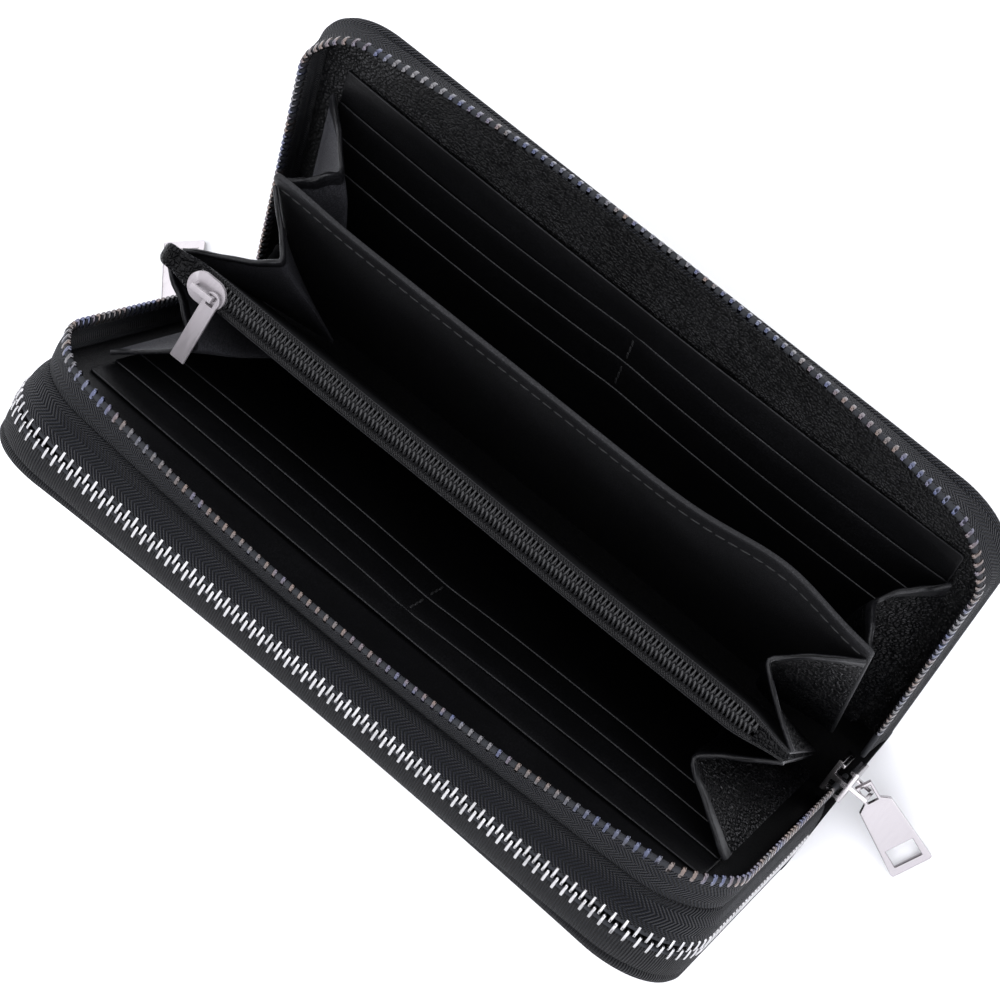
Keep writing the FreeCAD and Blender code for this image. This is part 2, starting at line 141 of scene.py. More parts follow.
def columns(W, s0, H, r, d, na=8, nm=60, ns=22):
    """Grid of (x, s) that fills a leaf: square at the spine, round at the top corners."""
    r = max(r, 0.6)
    a = np.linspace(math.pi / 2, 0, na)
    rr = max(r - d, 0.01)
    xl = -(W - r) - rr * np.sin(a)
    tl = (H - r) + rr * np.cos(a)
    if r < d:
        xl = np.minimum(xl, -(W - d)) if False else np.full(na, -(W - d)) + np.linspace(0, .01, na)
        tl = np.full(na, H - d)
    xm = np.linspace(-(W - r), W - r, nm)[1:-1]
    xs = np.concatenate([xl, xm, -xl[::-1]])
    top = np.concatenate([tl, np.full(len(xm), H - d), tl[::-1]])
    v = np.linspace(0, 1, ns)
    v = v ** 0.85
    X = np.repeat(xs[:, None], ns, 1)
    S = s0 + (top[:, None] - s0) * v[None]
    return X, S


def plate(name, W, s0, H, r, layers, level, mats, disp=None, nm=60, ns=22, rim=0, smooth=35, topf=None, xoff=0.0):
    """A closed sheet with a shaped rim. layers is [(inset, n), ...] from one face to the other.
    disp(x, s, n) gives how far the sheet is pushed along n. topf(x) lowers the top edge."""
    grids = []
    for d, n in layers:
        X, S = columns(W, s0, H, r, d, nm=nm, ns=ns)
        if topf is not None:
            S = s0 + (S - s0) * (1 - topf(X) / (H - s0))
        N = np.full(X.shape, float(n))
        if disp is not None:
            N = N + disp(X, S, N)
        grids.append(place(X + xoff, N, S, level))
    C, M = grids[0].shape[:2]
    loop = [(i, 0) for i in range(C)] + [(C - 1, j) for j in range(1, M)] + [(i, M - 1) for i in range(C - 2, -1, -1)] + [(0, j) for j in range(M - 2, 0, -1)]
    li = np.array([a * M + b for a, b in loop])
    L = len(li)
    verts = [grids[0].reshape(-1, 3)]
    faces, fi = [], []
    for i in range(C - 1):
        for j in range(M - 1):
            faces.append((i * M + j, (i + 1) * M + j, (i + 1) * M + j + 1, i * M + j + 1))
    cap = len(faces)
    base = C * M
    prev = li
    for g in grids[1:-1]:
        verts.append(g.reshape(-1, 3)[li])
        cur = np.arange(base, base + L)
        base += L
        for q in range(L):
            w = (q + 1) % L
            faces.append((int(prev[q]), int(prev[w]), int(cur[w]), int(cur[q])))
        prev = cur
    verts.append(grids[-1].reshape(-1, 3))
    cur = base + li
    for q in range(L):
        w = (q + 1) % L
        faces.append((int(prev[q]), int(prev[w]), int(cur[w]), int(cur[q])))
    rims = len(faces) - cap
    for i in range(C - 1):
        for j in range(M - 1):
            faces.append((base + i * M + j, base + i * M + j + 1, base + (i + 1) * M + j + 1, base + (i + 1) * M + j))
    fi = [0] * cap + [rim] * rims + [0] * cap
    return make(name, np.concatenate(verts), faces, mats, smooth, findex=fi)


def rim_layers(n0, n1, e=None, k=4):
    """Half round edge between two faces."""
    lo, hi = min(n0, n1), max(n0, n1)
    e = (hi - lo) / 2 if e is None else min(e, (hi - lo) / 2)
    a = np.linspace(0, math.pi / 2, k)
    out = [(e * (1 - math.sin(t)), lo + e * (1 - math.cos(t))) for t in a]
    out += [(e * (1 - math.cos(t)), hi - e + e * math.sin(t)) for t in a]
    keep = [out[0]]
    for o in out[1:]:
        if abs(o[0] - keep[-1][0]) + abs(o[1] - keep[-1][1]) > 1e-4:
            keep.append(o)
    return keep


def instances(name, bv, bf, O, E1, E2, E3, mats, smooth=40, scale=None):
    bv = np.asarray(bv, float) * 0.001
    k = len(O)
    V = O[:, None] + bv[None, :, 0:1] * E1[:, None] + bv[None, :, 1:2] * E2[:, None] + bv[None, :, 2:3] * E3[:, None]
    m = len(bv)
    faces = [tuple(int(x) + q * m for x in f) for q in range(k) for f in bf]
    return make(name, V.reshape(-1, 3), faces, mats, smooth)


def octo(hb, hc, chamfer=0.42):
    """Rounded rectangle section, eight points."""
    cb = min(hb, hc) * chamfer
    return [(hb, hc - cb), (hb - cb, hc), (-hb + cb, hc), (-hb, hc - cb), (-hb, -hc + cb), (-hb + cb, -hc), (hb - cb, -hc), (hb, -hc + cb)]


def prism(sections):
    """sections: [(a, half b, half c), ...] -> verts in (a, b, c) and faces."""
    P = np.array([[(a, b, c) for b, c in octo(hb, hc)] for a, hb, hc in sections])
    return loft(P)


def smoothnoise(x, y, seed, scale):
    """Deterministic smooth bumps, about -1..1."""
    rng = np.random.RandomState(seed)
    out = np.zeros_like(np.asarray(x, float))
    for _ in range(9):
        a, p = rng.uniform(0, 2 * math.pi, 2)
        f = 2 * math.pi / (scale * rng.uniform(0.7, 1.7))
        out = out + np.sin(x * f * math.cos(a) + y * f * math.sin(a) + p)
    return out / 4.0


# ------------------------------------------------------------------ materials
def new_mat(name, colour, rough, metal=0.0, spec=0.5):
    m = bpy.data.materials.new(name)
    m.use_nodes = True
    b = m.node_tree.nodes["Principled BSDF"]
    b.inputs["Base Color"].default_value = (*colour, 1)
    b.inputs["Roughness"].default_value = rough
    b.inputs["Metallic"].default_value = metal
    b.inputs["Specular IOR Level"].default_value = spec
    return m, m.node_tree, b


def nd(t, kind, **kw):
    n = t.nodes.new(kind)
    for k, v in kw.items():
        if k.startswith("i_"):
            n.inputs[k[2:].replace("_", " ")].default_value = v
        else:
            setattr(n, k, v)
    return n


def math_node(t, op, a, b=None, c=None):
    n = t.nodes.new("ShaderNodeMath")
    n.operation = op
    for i, v in enumerate((a, b, c)):
        if v is None:
            continue
        if isinstance(v, (int, float)):
            n.inputs[i].default_value = v
        else:
            t.links.new(v, n.inputs[i])
    return n.outputs[0]


def ramp(t, src, stops):
    r = t.nodes.new("ShaderNodeValToRGB")
    el = r.color_ramp.elements
    while len(el) < len(stops):
        el.new(0.5)
    for e, (p, c) in zip(el, stops):
        e.position = p
        e.color = (*c, 1) if len(c) == 3 else c
    t.links.new(src, r.inputs[0])
    return r.outputs[0]


def mapr(t, src, a, b, c, d):
    n = t.nodes.new("ShaderNodeMapRange")
    for i, v in enumerate((a, b, c, d)):
        n.inputs[i + 1].default_value = v
    t.links.new(src, n.inputs[0])
    return n.outputs[0]


def leather(name, dark, light, rough, cell, depth, crease=0.5, coat=0.0, speck=0.0, spec=0.5):
    """Grained leather: cells with creases between them, a fine pore noise, slow colour drift and rubbed high spots."""
    m, t, b = new_mat(name, dark, rough, spec=spec)
    co = nd(t, "ShaderNodeTexCoord").outputs["Object"]
    warp = nd(t, "ShaderNodeTexNoise")
    warp.inputs["Scale"].default_value = cell * 0.35
    warp.inputs["Detail"].default_value = 2
    t.links.new(co, warp.inputs["Vector"])
    mixv = nd(t, "ShaderNodeVectorMath", operation="MULTIPLY_ADD")
    t.links.new(warp.outputs["Color"], mixv.inputs[0])
    mixv.inputs[1].default_value = (1.2 / cell,) * 3
    t.links.new(co, mixv.inputs[2])
    vo = nd(t, "ShaderNodeTexVoronoi", feature="DISTANCE_TO_EDGE")
    vo.inputs["Scale"].default_value = cell
    t.links.new(mixv.outputs[0], vo.inputs["Vector"])
    groove = mapr(t, vo.outputs["Distance"], 0.0, 0.22, 0.0, 1.0)
    fine = nd(t, "ShaderNodeTexNoise")
    fine.inputs["Scale"].default_value = cell * 4.5
    fine.inputs["Detail"].default_value = 4
    t.links.new(co, fine.inputs["Vector"])
    broad = nd(t, "ShaderNodeTexNoise")
    broad.inputs["Scale"].default_value = 55
    broad.inputs["Detail"].default_value = 5
    broad.inputs["Roughness"].default_value = 0.62
    t.links.new(co, broad.inputs["Vector"])
    h = math_node(t, "ADD", math_node(t, "MULTIPLY", groove, crease), math_node(t, "MULTIPLY", fine.outputs["Fac"], 0.35))
    h = math_node(t, "ADD", h, math_node(t, "MULTIPLY", broad.outputs["Fac"], 0.9))
    bump = nd(t, "ShaderNodeBump")
    bump.inputs["Strength"].default_value = 1.0
    bump.inputs["Distance"].default_value = depth
    t.links.new(h, bump.inputs["Height"])
    t.links.new(bump.outputs[0], b.inputs["Normal"])
    shade = math_node(t, "MULTIPLY", groove, mapr(t, broad.outputs["Fac"], 0.3, 0.75, 0.35, 1.0))
    geo = nd(t, "ShaderNodeNewGeometry")
    worn = mapr(t, geo.outputs["Pointiness"], 0.52, 0.62, 0.0, 0.7)
    shade = math_node(t, "ADD", shade, worn)
    if speck:
        sp = nd(t, "ShaderNodeTexNoise")
        sp.inputs["Scale"].default_value = 2600
        sp.inputs["Detail"].default_value = 2
        t.links.new(co, sp.inputs["Vector"])
        shade = math_node(t, "ADD", shade, mapr(t, sp.outputs["Fac"], 0.60, 0.72, 0.0, speck))
    t.links.new(ramp(t, shade, [(0.0, tuple(c * 0.55 for c in dark)), (0.45, dark), (1.0, light)]), b.inputs["Base Color"])
    t.links.new(mapr(t, math_node(t, "ADD", fine.outputs["Fac"], math_node(t, "MULTIPLY", groove, -0.25)), 0.2, 0.75, rough - 0.09, rough + 0.13), b.inputs["Roughness"])
    b.inputs["Coat Weight"].default_value = coat
    b.inputs["Coat Roughness"].default_value = 0.28
    return m


def tape_cloth(name, dark, light, pitch, column, rough=0.72, depth=0.00022, plain=False):
    """Woven zip tape in the strip's own coordinates, metres: u along, v across."""
    m, t, b = new_mat(name, dark, rough, spec=0.12)
    uvn = nd(t, "ShaderNodeUVMap", uv_map="UVMap")
    sep = nd(t, "ShaderNodeSeparateXYZ")
    t.links.new(uvn.outputs[0], sep.inputs[0])
    u, v = sep.outputs[0], sep.outputs[1]
    if plain:
        ph = math_node(t, "MULTIPLY", u, 2 * math.pi / pitch)
    else:
        tri = math_node(t, "PINGPONG", v, column)
        ph = math_node(t, "MULTIPLY", math_node(t, "ADD", u, math_node(t, "MULTIPLY", tri, 0.95)), 2 * math.pi / pitch)
    rib = math_node(t, "SINE", ph)
    cross = math_node(t, "SINE", math_node(t, "MULTIPLY", v, 2 * math.pi / (pitch * 0.42)))
    h = math_node(t, "ADD", rib, math_node(t, "MULTIPLY", cross, 0.35))
    fuzz = nd(t, "ShaderNodeTexNoise")
    fuzz.inputs["Scale"].default_value = 3200
    fuzz.inputs["Detail"].default_value = 3
    t.links.new(nd(t, "ShaderNodeTexCoord").outputs["Object"], fuzz.inputs["Vector"])
    h2 = math_node(t, "ADD", h, math_node(t, "MULTIPLY", fuzz.outputs["Fac"], 0.8))
    bump = nd(t, "ShaderNodeBump")
    bump.inputs["Strength"].default_value = 1.0
    bump.inputs["Distance"].default_value = depth
    t.links.new(h2, bump.inputs["Height"])
    t.links.new(bump.outputs[0], b.inputs["Normal"])
    t.links.new(ramp(t, mapr(t, h2, -0.9, 1.6, 0.0, 1.0), [(0.0, tuple(c * 0.35 for c in dark)), (0.45, dark), (1.0, light)]), b.inputs["Base Color"])
    t.links.new(mapr(t, fuzz.outputs["Fac"], 0.2, 0.8, rough - 0.1, rough + 0.1), b.inputs["Roughness"])
    b.inputs["Sheen Weight"].default_value = 0.08
    b.inputs["Sheen Roughness"].default_value = 0.4
    return m


def metal(name, colours, rough, tint_scale, scratch=0.00002, wear=0.25):
    """Plated metal with a slow tint, fine scratches and uneven gloss."""
    m, t, b = new_mat(name, colours[1], rough, metal=1.0)
    co = nd(t, "ShaderNodeTexCoord").outputs["Object"]
    tint = nd(t, "ShaderNodeTexNoise")
    tint.inputs["Scale"].default_value = tint_scale
    tint.inputs["Detail"].default_value = 1.5
    t.links.new(co, tint.inputs["Vector"])
    pts = np.linspace(0.32, 0.68, len(colours))
    geo = nd(t, "ShaderNodeNewGeometry")
    base = ramp(t, tint.outputs["Fac"], [(float(p), c) for p, c in zip(pts, colours)])
    mix = nd(t, "ShaderNodeMix", data_type="RGBA")
    t.links.new(mapr(t, geo.outputs["Pointiness"], 0.5, 0.6, 0.0, wear), mix.inputs[0])
    t.links.new(base, mix.inputs[6])
    mix.inputs[7].default_value = (0.85, 0.84, 0.83, 1)
    t.links.new(mix.outputs[2], b.inputs["Base Color"])
    fine = nd(t, "ShaderNodeTexNoise")
    fine.inputs["Scale"].default_value = 1400
    fine.inputs["Detail"].default_value = 3
    mp = nd(t, "ShaderNodeMapping")
    mp.inputs["Scale"].default_value = (1.0, 0.16, 0.3)
    t.links.new(co, mp.inputs["Vector"])
    t.links.new(mp.outputs[0], fine.inputs["Vector"])
    bump = nd(t, "ShaderNodeBump")
    bump.inputs["Strength"].default_value = 0.35
    bump.inputs["Distance"].default_value = scratch
    t.links.new(fine.outputs["Fac"], bump.inputs["Height"])
    t.links.new(bump.outputs[0], b.inputs["Normal"])
    t.links.new(mapr(t, fine.outputs["Fac"], 0.3, 0.7, rough * 0.7, rough * 1.5), b.inputs["Roughness"])
    return m


def plastic(name, dark, light, rough, depth=0.00004, scale=1800):
    m, t, b = new_mat(name, dark, rough)
    co = nd(t, "ShaderNodeTexCoord").outputs["Object"]
    n1 = nd(t, "ShaderNodeTexNoise")
    n1.inputs["Scale"].default_value = scale
    n1.inputs["Detail"].default_value = 3
    t.links.new(co, n1.inputs["Vector"])
    t.links.new(ramp(t, n1.outputs["Fac"], [(0.3, dark), (0.7, light)]), b.inputs["Base Color"])
    t.links.new(mapr(t, n1.outputs["Fac"], 0.3, 0.7, rough - 0.06, rough + 0.08), b.inputs["Roughness"])
    bump = nd(t, "ShaderNodeBump")
    bump.inputs["Strength"].default_value = 0.6
    bump.inputs["Distance"].default_value = depth
    t.links.new(n1.outputs["Fac"], bump.inputs["Height"])
    t.links.new(bump.outputs[0], b.inputs["Normal"])
    return m


LEATHER_OUT = leather("leather_cover", (0.0045, 0.0045, 0.005), (0.018, 0.018, 0.020), 0.40, 950, 0.00022, crease=1.0, spec=0.30)
LEATHER_IN = leather("leather_inner", (0.0022, 0.0022, 0.0026), (0.0062, 0.0062, 0.0070), 0.52, 1500, 0.00005, crease=0.4, spec=0.13)
# near-black copy of the inner leather: painted shade for the shadowed inside face of the spine wrap
LEATHER_PAINTED_SHADE = leather("leather_bay_floor", (0.0012, 0.0012, 0.0014), (0.003, 0.003, 0.0034), 0.70, 1500, 0.00005, crease=0.4, spec=0.06)
LEATHER_BAND = leather("leather_band", (0.0034, 0.0034, 0.0037), (0.016, 0.016, 0.0175), 0.35, 1050, 0.00022, crease=1.0, spec=0.24)
LEATHER_GUSSET = leather("leather_gusset", (0.0022, 0.0022, 0.0026), (0.0065, 0.0065, 0.0076), 0.30, 900, 0.00025, crease=1.0, spec=0.115)
# much lighter copy of the gusset leather for the left gussets: painted light where those panels catch the lamps
LEATHER_GUSSET_PAINTED_LIT = leather("leather_gusset_smooth", (0.034, 0.034, 0.039), (0.065, 0.065, 0.073), 0.50, 1300, 0.00007, crease=0.8, spec=0.26)
LEATHER_DIV = leather("leather_divider", (0.0080, 0.0080, 0.0090), (0.019, 0.019, 0.021), 0.60, 1900, 0.00005, crease=0.3, speck=0.9, spec=0.22)
EDGE = leather("edge_paint", (0.005, 0.005, 0.006), (0.018, 0.018, 0.020), 0.38, 1500, 0.00003, crease=0.3, spec=0.27)
TAPE_H = tape_cloth("tape_herringbone", (0.0020, 0.0023, 0.0036), (0.0100, 0.0120, 0.0190), 0.00095, 0.0022, depth=0.00032)
TAPE_R = tape_cloth("tape_ribbed", (0.0022, 0.0024, 0.0031), (0.0095, 0.0105, 0.0142), 0.00062, 0.01, plain=True)
TAPE_C = tape_cloth("tape_twill", (0.0032, 0.0032, 0.0036), (0.0125, 0.0125, 0.0145), 0.0007, 0.0011)
GUN = metal("teeth_gunmetal", [(0.014, 0.024, 0.075), (0.045, 0.043, 0.048), (0.095, 0.06, 0.045), (0.02, 0.032, 0.095), (0.075, 0.072, 0.078)], 0.17, 60, wear=0.12)
BRIGHT = metal("teeth_bright", [(0.24, 0.238, 0.245), (0.40, 0.395, 0.40), (0.31, 0.305, 0.32)], 0.20, 130)
NICKEL = metal("nickel", [(0.31, 0.288, 0.30), (0.37, 0.345, 0.355), (0.34, 0.318, 0.328)], 0.17, 25, scratch=0.000008, wear=0.4)
SATIN = metal("satin_nickel", [(0.27, 0.247, 0.262), (0.32, 0.295, 0.31), (0.295, 0.27, 0.285)], 0.40, 25, scratch=0.000008, wear=0.2)
SATIN.node_tree.nodes["Principled BSDF"].inputs["Metallic"].default_value = 0.45
NYLON = plastic("nylon_coil", (0.0055, 0.0055, 0.006), (0.013, 0.013, 0.014), 0.30)
THREAD = plastic("thread", (0.004, 0.004, 0.0045), (0.010, 0.010, 0.011), 0.65, depth=0.0001, scale=5200)
CORD = plastic("tape_bead", (0.0035, 0.0042, 0.006), (0.014, 0.016, 0.021), 0.8, depth=0.00015, scale=3600)


# ------------------------------------------------------------------ shape of the opened leaves
def f_of(x):
    return np.clip(1 - (np.asarray(x) / 95.2) ** 2, 0, 1)


def bow_mid(x, s, n=None):
    return -3.4 * f_of(x) * np.clip(s / 102.0, 0, 1.2) ** 1.5


def bow_front(x, s, n=None):
    return 2.3 * f_of(x) * np.clip(s / 102.0, 0, 1.2) ** 1.5


def bow_none(x, s, n=None):
    return 0.0 * np.asarray(x)


# ------------------------------------------------------------------ rim path of the zips
def rim_path(half, h, r, s_left, s_right, step):
    """Stations along the zip, left foot -> top -> right foot: x, s, outward normal, length along."""
    segs = []
    L1, L2, L3 = h - r - s_left, math.pi / 2 * r, 2 * (half - r)
    L5 = h - r - s_right
    total = L1 + L2 + L3 + L2 + L5
    n = int(total / step)
    q = np.arange(n + 1) * step if step < 2.6 and step > 2.3 else np.linspace(0, total, n + 1)
    x, s, nx, ns = [], [], [], []
    for d in q:
        if d <= L1:
            p = (-half, s_left + d, -1, 0)
        elif d <= L1 + L2:
            a = (d - L1) / r
            p = (-half + r - r * math.cos(a), h - r + r * math.sin(a), -math.cos(a), math.sin(a))
        elif d <= L1 + L2 + L3:
            p = (-half + r + d - L1 - L2, h, 0, 1)
        elif d <= L1 + 2 * L2 + L3:
            a = (d - L1 - L2 - L3) / r
            p = (half - r + r * math.sin(a), h - r + r * math.cos(a), math.sin(a), math.cos(a))
        else:
            p = (half, h - r - (d - L1 - 2 * L2 - L3), 1, 0)
        x.append(p[0]); s.append(p[1]); nx.append(p[2]); ns.append(p[3])
    return np.array(x), np.array(s), np.array(nx), np.array(ns), q


def flop(which, x, s, ns):
    """Angle by which a free tape edge leans up from straight across, in radians."""
    f = f_of(x) * np.clip((ns - 0.55) / 0.4, 0, 1)
    if which == "mid_b":
        A, B, C = 9.4, 3.61, 9.35 - 8.8 * f + 3.4 * f
    elif which == "back_b":
        A, B, C = 9.3, 5.2, 9.28 - 9.74 * f
    else:
        # the shut zip arches up as its two leaves lean together
        return np.arccos((18.85 - 5.7 * f_of(x)) / 19.1)
    R = math.hypot(A, B)
    return np.maximum(np.arccos(np.clip(C / R, -1, 1)) - math.atan2(B, A), 0.0)


SIDES = {   # name: (level, base n, direction, width of tape to the bead, bow, foot left, foot right)
    "mid_b": (0, 0.25, 1, 8.0, bow_mid, 6.0, 15.5),
    "back_b": (3, 19.0, -1, 8.0, bow_none, 6.0, 15.5),
    "mid_a": (0, -0.25, -1, 7.8, bow_mid, 15.5, 6.0),
    "front_a": (0, -19.1, 1, 7.9, bow_front, 15.5, 6.0),
}
RIM = (95.2, 102.3, 17.5)


def tape_section(which, x, s, nx, ns):
    """Centreline points across the tape at each station, as (n offset, outward offset)."""
    level, n0, d, w, bow, fl, fr = SIDES[which]
    phi = flop(which, x, s, ns)
    k = np.linspace(0, 1, 7)
    pts = []
    one = np.ones(len(x))
    dirn = np.stack([np.cos(phi) * d, np.sin(phi)], -1)
    nrm = np.stack([-np.sin(phi) * d, np.cos(phi)], -1)
    # the shut zip's tape curves over, so that its teeth lie flat
    arch = (w * np.tan(phi) / 4 * 0.85) if which in ("mid_a", "front_a") else np.zeros(len(x))
    C = []
    if which in ("mid_a", "mid_b"):
        # tucked part inside the leaf, a bend, then the free part
        corner = np.stack([n0 * one, 0 * one], -1)
        start = np.stack([n0 * one, -1.1 * one], -1)
        for q in np.linspace(-4.6, -1.3, 4):
            C.append(np.stack([n0 * one, q * one], -1))
        first = corner + dirn * 1.2
        for b in (0.33, 0.66):
            C.append(start * (1 - b) ** 2 + corner * 2 * b * (1 - b) + first * b * b)
        lo = 1.2
    else:
        # the cloth rolls over the edge of the cover before it turns in towards the teeth
        corner = np.stack([n0 * one, 0 * one], -1)
        for a_, q in ((-1.25, -3.4), (-1.3, -1.6), (-1.38, -0.4), (-1.3, 0.55), (-0.95, 1.2), (-0.35, 1.55), (0.4, 1.58), (1.2, 1.3)):
            C.append(np.stack([(n0 + a_ * d) * one, q * one], -1))
        lo = 2.4
    for q in np.linspace(lo, w, 9):
        k = (q - lo) / (w - lo)
        sag = 0.28 * math.sin(math.pi * k) + (0.85 * (1 - k) ** 2 if lo > 2 else 0)
        C.append(corner + dirn * q + nrm * (sag + arch[:, None] * 4 * (q / w) * (1 - q / w)))
    turn = np.arctan(4 * arch / w)[:, None]
    dirn = dirn * np.cos(turn) - nrm * np.sin(turn)
    C = np.stack(C, 1)
    return C, phi, dirn


def tape_edge(which, x, s, nx, ns):
    """Point and directions at the bead of the tape."""
    level, n0, d, w, bow, fl, fr = SIDES[which]
    C, phi, dirn = tape_section(which, x, s, nx, ns)
    E = C[:, -1]
    b = bow(x, s)
    P = place(x + E[:, 1] * nx, n0 * 0 + E[:, 0] + b, s + E[:, 1] * ns, level)
    eps = 0.5
    Q = place(x + (E[:, 1] + dirn[:, 1] * eps) * nx, E[:, 0] + dirn[:, 0] * eps + b, s + (E[:, 1] + dirn[:, 1] * eps) * ns, level)
    A = Q - P
    A /= np.linalg.norm(A, axis=1, keepdims=True)
    T = np.gradient(P, axis=0)
    T /= np.linalg.norm(T, axis=1, keepdims=True)
    Cn = np.cross(T, A)
    Cn /= np.linalg.norm(Cn, axis=1, keepdims=True)
    T = np.cross(A, Cn)
    return P, A, T, Cn


def build_tape(which, node, body, mat):
    level, n0, d, w, bow, fl, fr = SIDES[which]
    x, s, nx, ns, q = rim_path(*RIM, 2.0, 2.0, 1.22)
    C, phi, dirn = tape_section(which, x, s, nx, ns)
    m = C.shape[1]
    half = np.full(m, 0.36)
    half[-1], half[-2], half[-3] = 0.62, 0.62, 0.42
    # end of the bead is rounded by one more point
    E = C[:, -1] + dirn * 0.5
    C = np.concatenate([C, E[:, None]], 1)
    half = np.append(half, 0.30)
    L = ribbon_loop(C, half)
    b = bow(x, s)[:, None]
    P = place(x[:, None] + L[..., 1] * nx[:, None], L[..., 0] + b, s[:, None] + L[..., 1] * ns[:, None], level)
    v, fcs = loft(P)
    vv = np.concatenate([[0], np.cumsum(np.linalg.norm(np.diff(C[len(C) // 2], axis=0), axis=1))]) * 0.001
    vv = np.concatenate([vv, vv[::-1]])
    uv = np.stack([np.repeat(q * 0.001, L.shape[1]), np.tile(vv, len(x))], -1)
    ob = make("zip_" + which + "_tape", v, fcs, mat, 50, uv=uv)
    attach(ob, body)
    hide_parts(node)
    return ob


OPEN_TOOTH = prism([(-1.5, 0.30, 0.45), (-1.35, 0.50, 0.80), (-0.55, 0.54, 0.88), (-0.1, 0.54, 0.80), (0.45, 0.53, 0.62), (0.85, 0.47, 0.50), (1.06, 0.34, 0.37), (1.14, 0.14, 0.18)])
SHUT_TOOTH = prism([(-1.0, 0.20, 0.7), (-0.88, 0.31, 1.02), (0.0, 0.35, 1.12), (0.9, 0.35, 1.10), (1.72, 0.33, 1.0), (1.92, 0.25, 0.8), (1.98, 0.10, 0.4)])


def build_teeth(which, node, body, tooth, mat, shift):
    level, n0, d, w, bow, fl, fr = SIDES[which]
    x, s, nx, ns, q = rim_path(*RIM, fl + shift, fr, PITCH)
    P, A, T, Cn = tape_edge(which, x, s, nx, ns)
    ob = instances("zip_" + which + "_teeth", tooth[0], tooth[1], P + A * (0.0005 if tooth is OPEN_TOOTH else 0.00008), A, T, Cn, mat)
    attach(ob, body)
    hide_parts(node)
    return ob


def build_bead(which, body, mat):
    """Woven cord along the toothed edge, seen between the teeth."""
    x, s, nx, ns, q = rim_path(*RIM, 3.0, 3.0, 0.61)
    P, A, T, Cn = tape_edge(which, x, s, nx, ns)
    k = 8
    a = np.linspace(0, 2 * math.pi, k, endpoint=False)
    r = 0.00072 + 0.00008 * np.sin(q * 2 * math.pi / 1.22)
    loop = P[:, None] + A[:, None] * 0.0002 + r[:, None, None] * (np.cos(a)[None, :, None] * A[:, None] + np.sin(a)[None, :, None] * Cn[:, None])
    v, fcs = loft(loop)
    ob = make("zip_" + which + "_bead", v, fcs, mat, 60)
    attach(ob, body)
    return ob


build_tape("mid_b", "zip_b_tape_mid", "root", TAPE_H)
build_tape("back_b", "zip_b_tape_back", "back_leaf", TAPE_H)
build_tape("mid_a", "zip_a_tape_mid", "root", TAPE_H)
build_tape("front_a", "zip_a_tape_front", "front_cover", TAPE_R)
build_teeth("mid_b", "zip_b_teeth_mid", "root", OPEN_TOOTH, GUN, 0.0)
build_teeth("back_b", "zip_b_teeth_back", "back_leaf", OPEN_TOOTH, GUN, PITCH / 2)
build_teeth("mid_a", "zip_a_teeth_mid", "root", SHUT_TOOTH, BRIGHT, 0.0)
build_teeth("front_a", "zip_a_teeth_front", "front_cover", SHUT_TOOTH, BRIGHT, PITCH / 2)
for which, body in (("mid_b", "root"), ("back_b", "back_leaf"), ("mid_a", "root"), ("front_a", "front_cover")):
    build_bead(which, body, CORD)


# ------------------------------------------------------------------ stitches
STITCH = prism([(-1.25, 0.10, 0.08), (-1.05, 0.22, 0.16), (-0.4, 0.27, 0.22), (0.4, 0.27, 0.22), (1.05, 0.22, 0.16), (1.25, 0.10, 0.08)])


def stitches(name, body, P, N, gap=3.2):
    """Row of thread stitches along the polyline P (metres), N the surface normal at each point."""
    P = np.asarray(P); N = np.asarray(N)
    d = np.concatenate([[0], np.cumsum(np.linalg.norm(np.diff(P, axis=0), axis=1))])
    at = np.arange(gap * 0.0005, d[-1] - gap * 0.0005, gap * 0.001)
    O = np.stack([np.interp(at, d, P[:, i]) for i in range(3)], -1)
    NN = np.stack([np.interp(at, d, N[:, i]) for i in range(3)], -1)
    O2 = np.stack([np.interp(at + 1e-4, d, P[:, i]) for i in range(3)], -1)
    T = O2 - O
    T /= np.maximum(np.linalg.norm(T, axis=1, keepdims=True), 1e-12)
    NN /= np.linalg.norm(NN, axis=1, keepdims=True)
    B = np.cross(NN, T)
    # each stitch lies a little askew, as thread does
    ang = 0.10
    E1 = T * math.cos(ang) + B * math.sin(ang)
    E2 = np.cross(NN, E1)
    ob = instances(name, STITCH[0], STITCH[1], O + NN * 0.00005, E1, E2, NN, THREAD, 60)
    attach(ob, body)
    return ob


def plane_normal(level, sign):
    return (vec(0, 1, 0, level) - vec(0, 0, 0, level)).normalized() * sign


def line_on(level, xs, n, ss):
    return place(xs, n, ss, level)


# ------------------------------------------------------------------ covers
def skin(x, s, n):
    return 0.10 * smoothnoise(x, s, 5, 34.0) * np.clip(np.minimum(97 - np.abs(x), 104 - s) / 12, 0, 1)


def cover_front(x, s, n):
    return bow_front(x, s) + skin(x, s, n)


cov = [(1.5, -21.0), (0.8, -20.96), (0.35, -20.82), (0.08, -20.6), (0.0, -20.35), (0.1, -20.1), (0.4, -19.9), (1.4, -19.8)]
ob = plate("front_cover_leather", 95.3, 3.0, 102.0, 17.4, cov, 0, LEATHER_OUT, disp=cover_front, nm=90, ns=40)
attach(ob, "front_cover"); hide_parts("front_leather", "front_board")
ob = plate("back_cover_leather", 95.3, 3.0, 102.0, 17.4, [(d, -n) for d, n in cov], 3, LEATHER_OUT, disp=lambda x, s, n: skin(x, s + 40, n), nm=90, ns=40)
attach(ob, "back_leaf"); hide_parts("back_leather", "back_board")


def band(x, s, n):
    """Crumpled lining: soft wrinkles near the zip, calmer further down."""
    w = np.clip((s - 60) / 30, 0.15, 1)
    return -w * (0.16 * smoothnoise(x, s, 3, 9.0) + 0.22 * smoothnoise(x, s, 8, 22.0) - 0.1) * np.clip((95 - np.abs(x)) / 8, 0, 1)


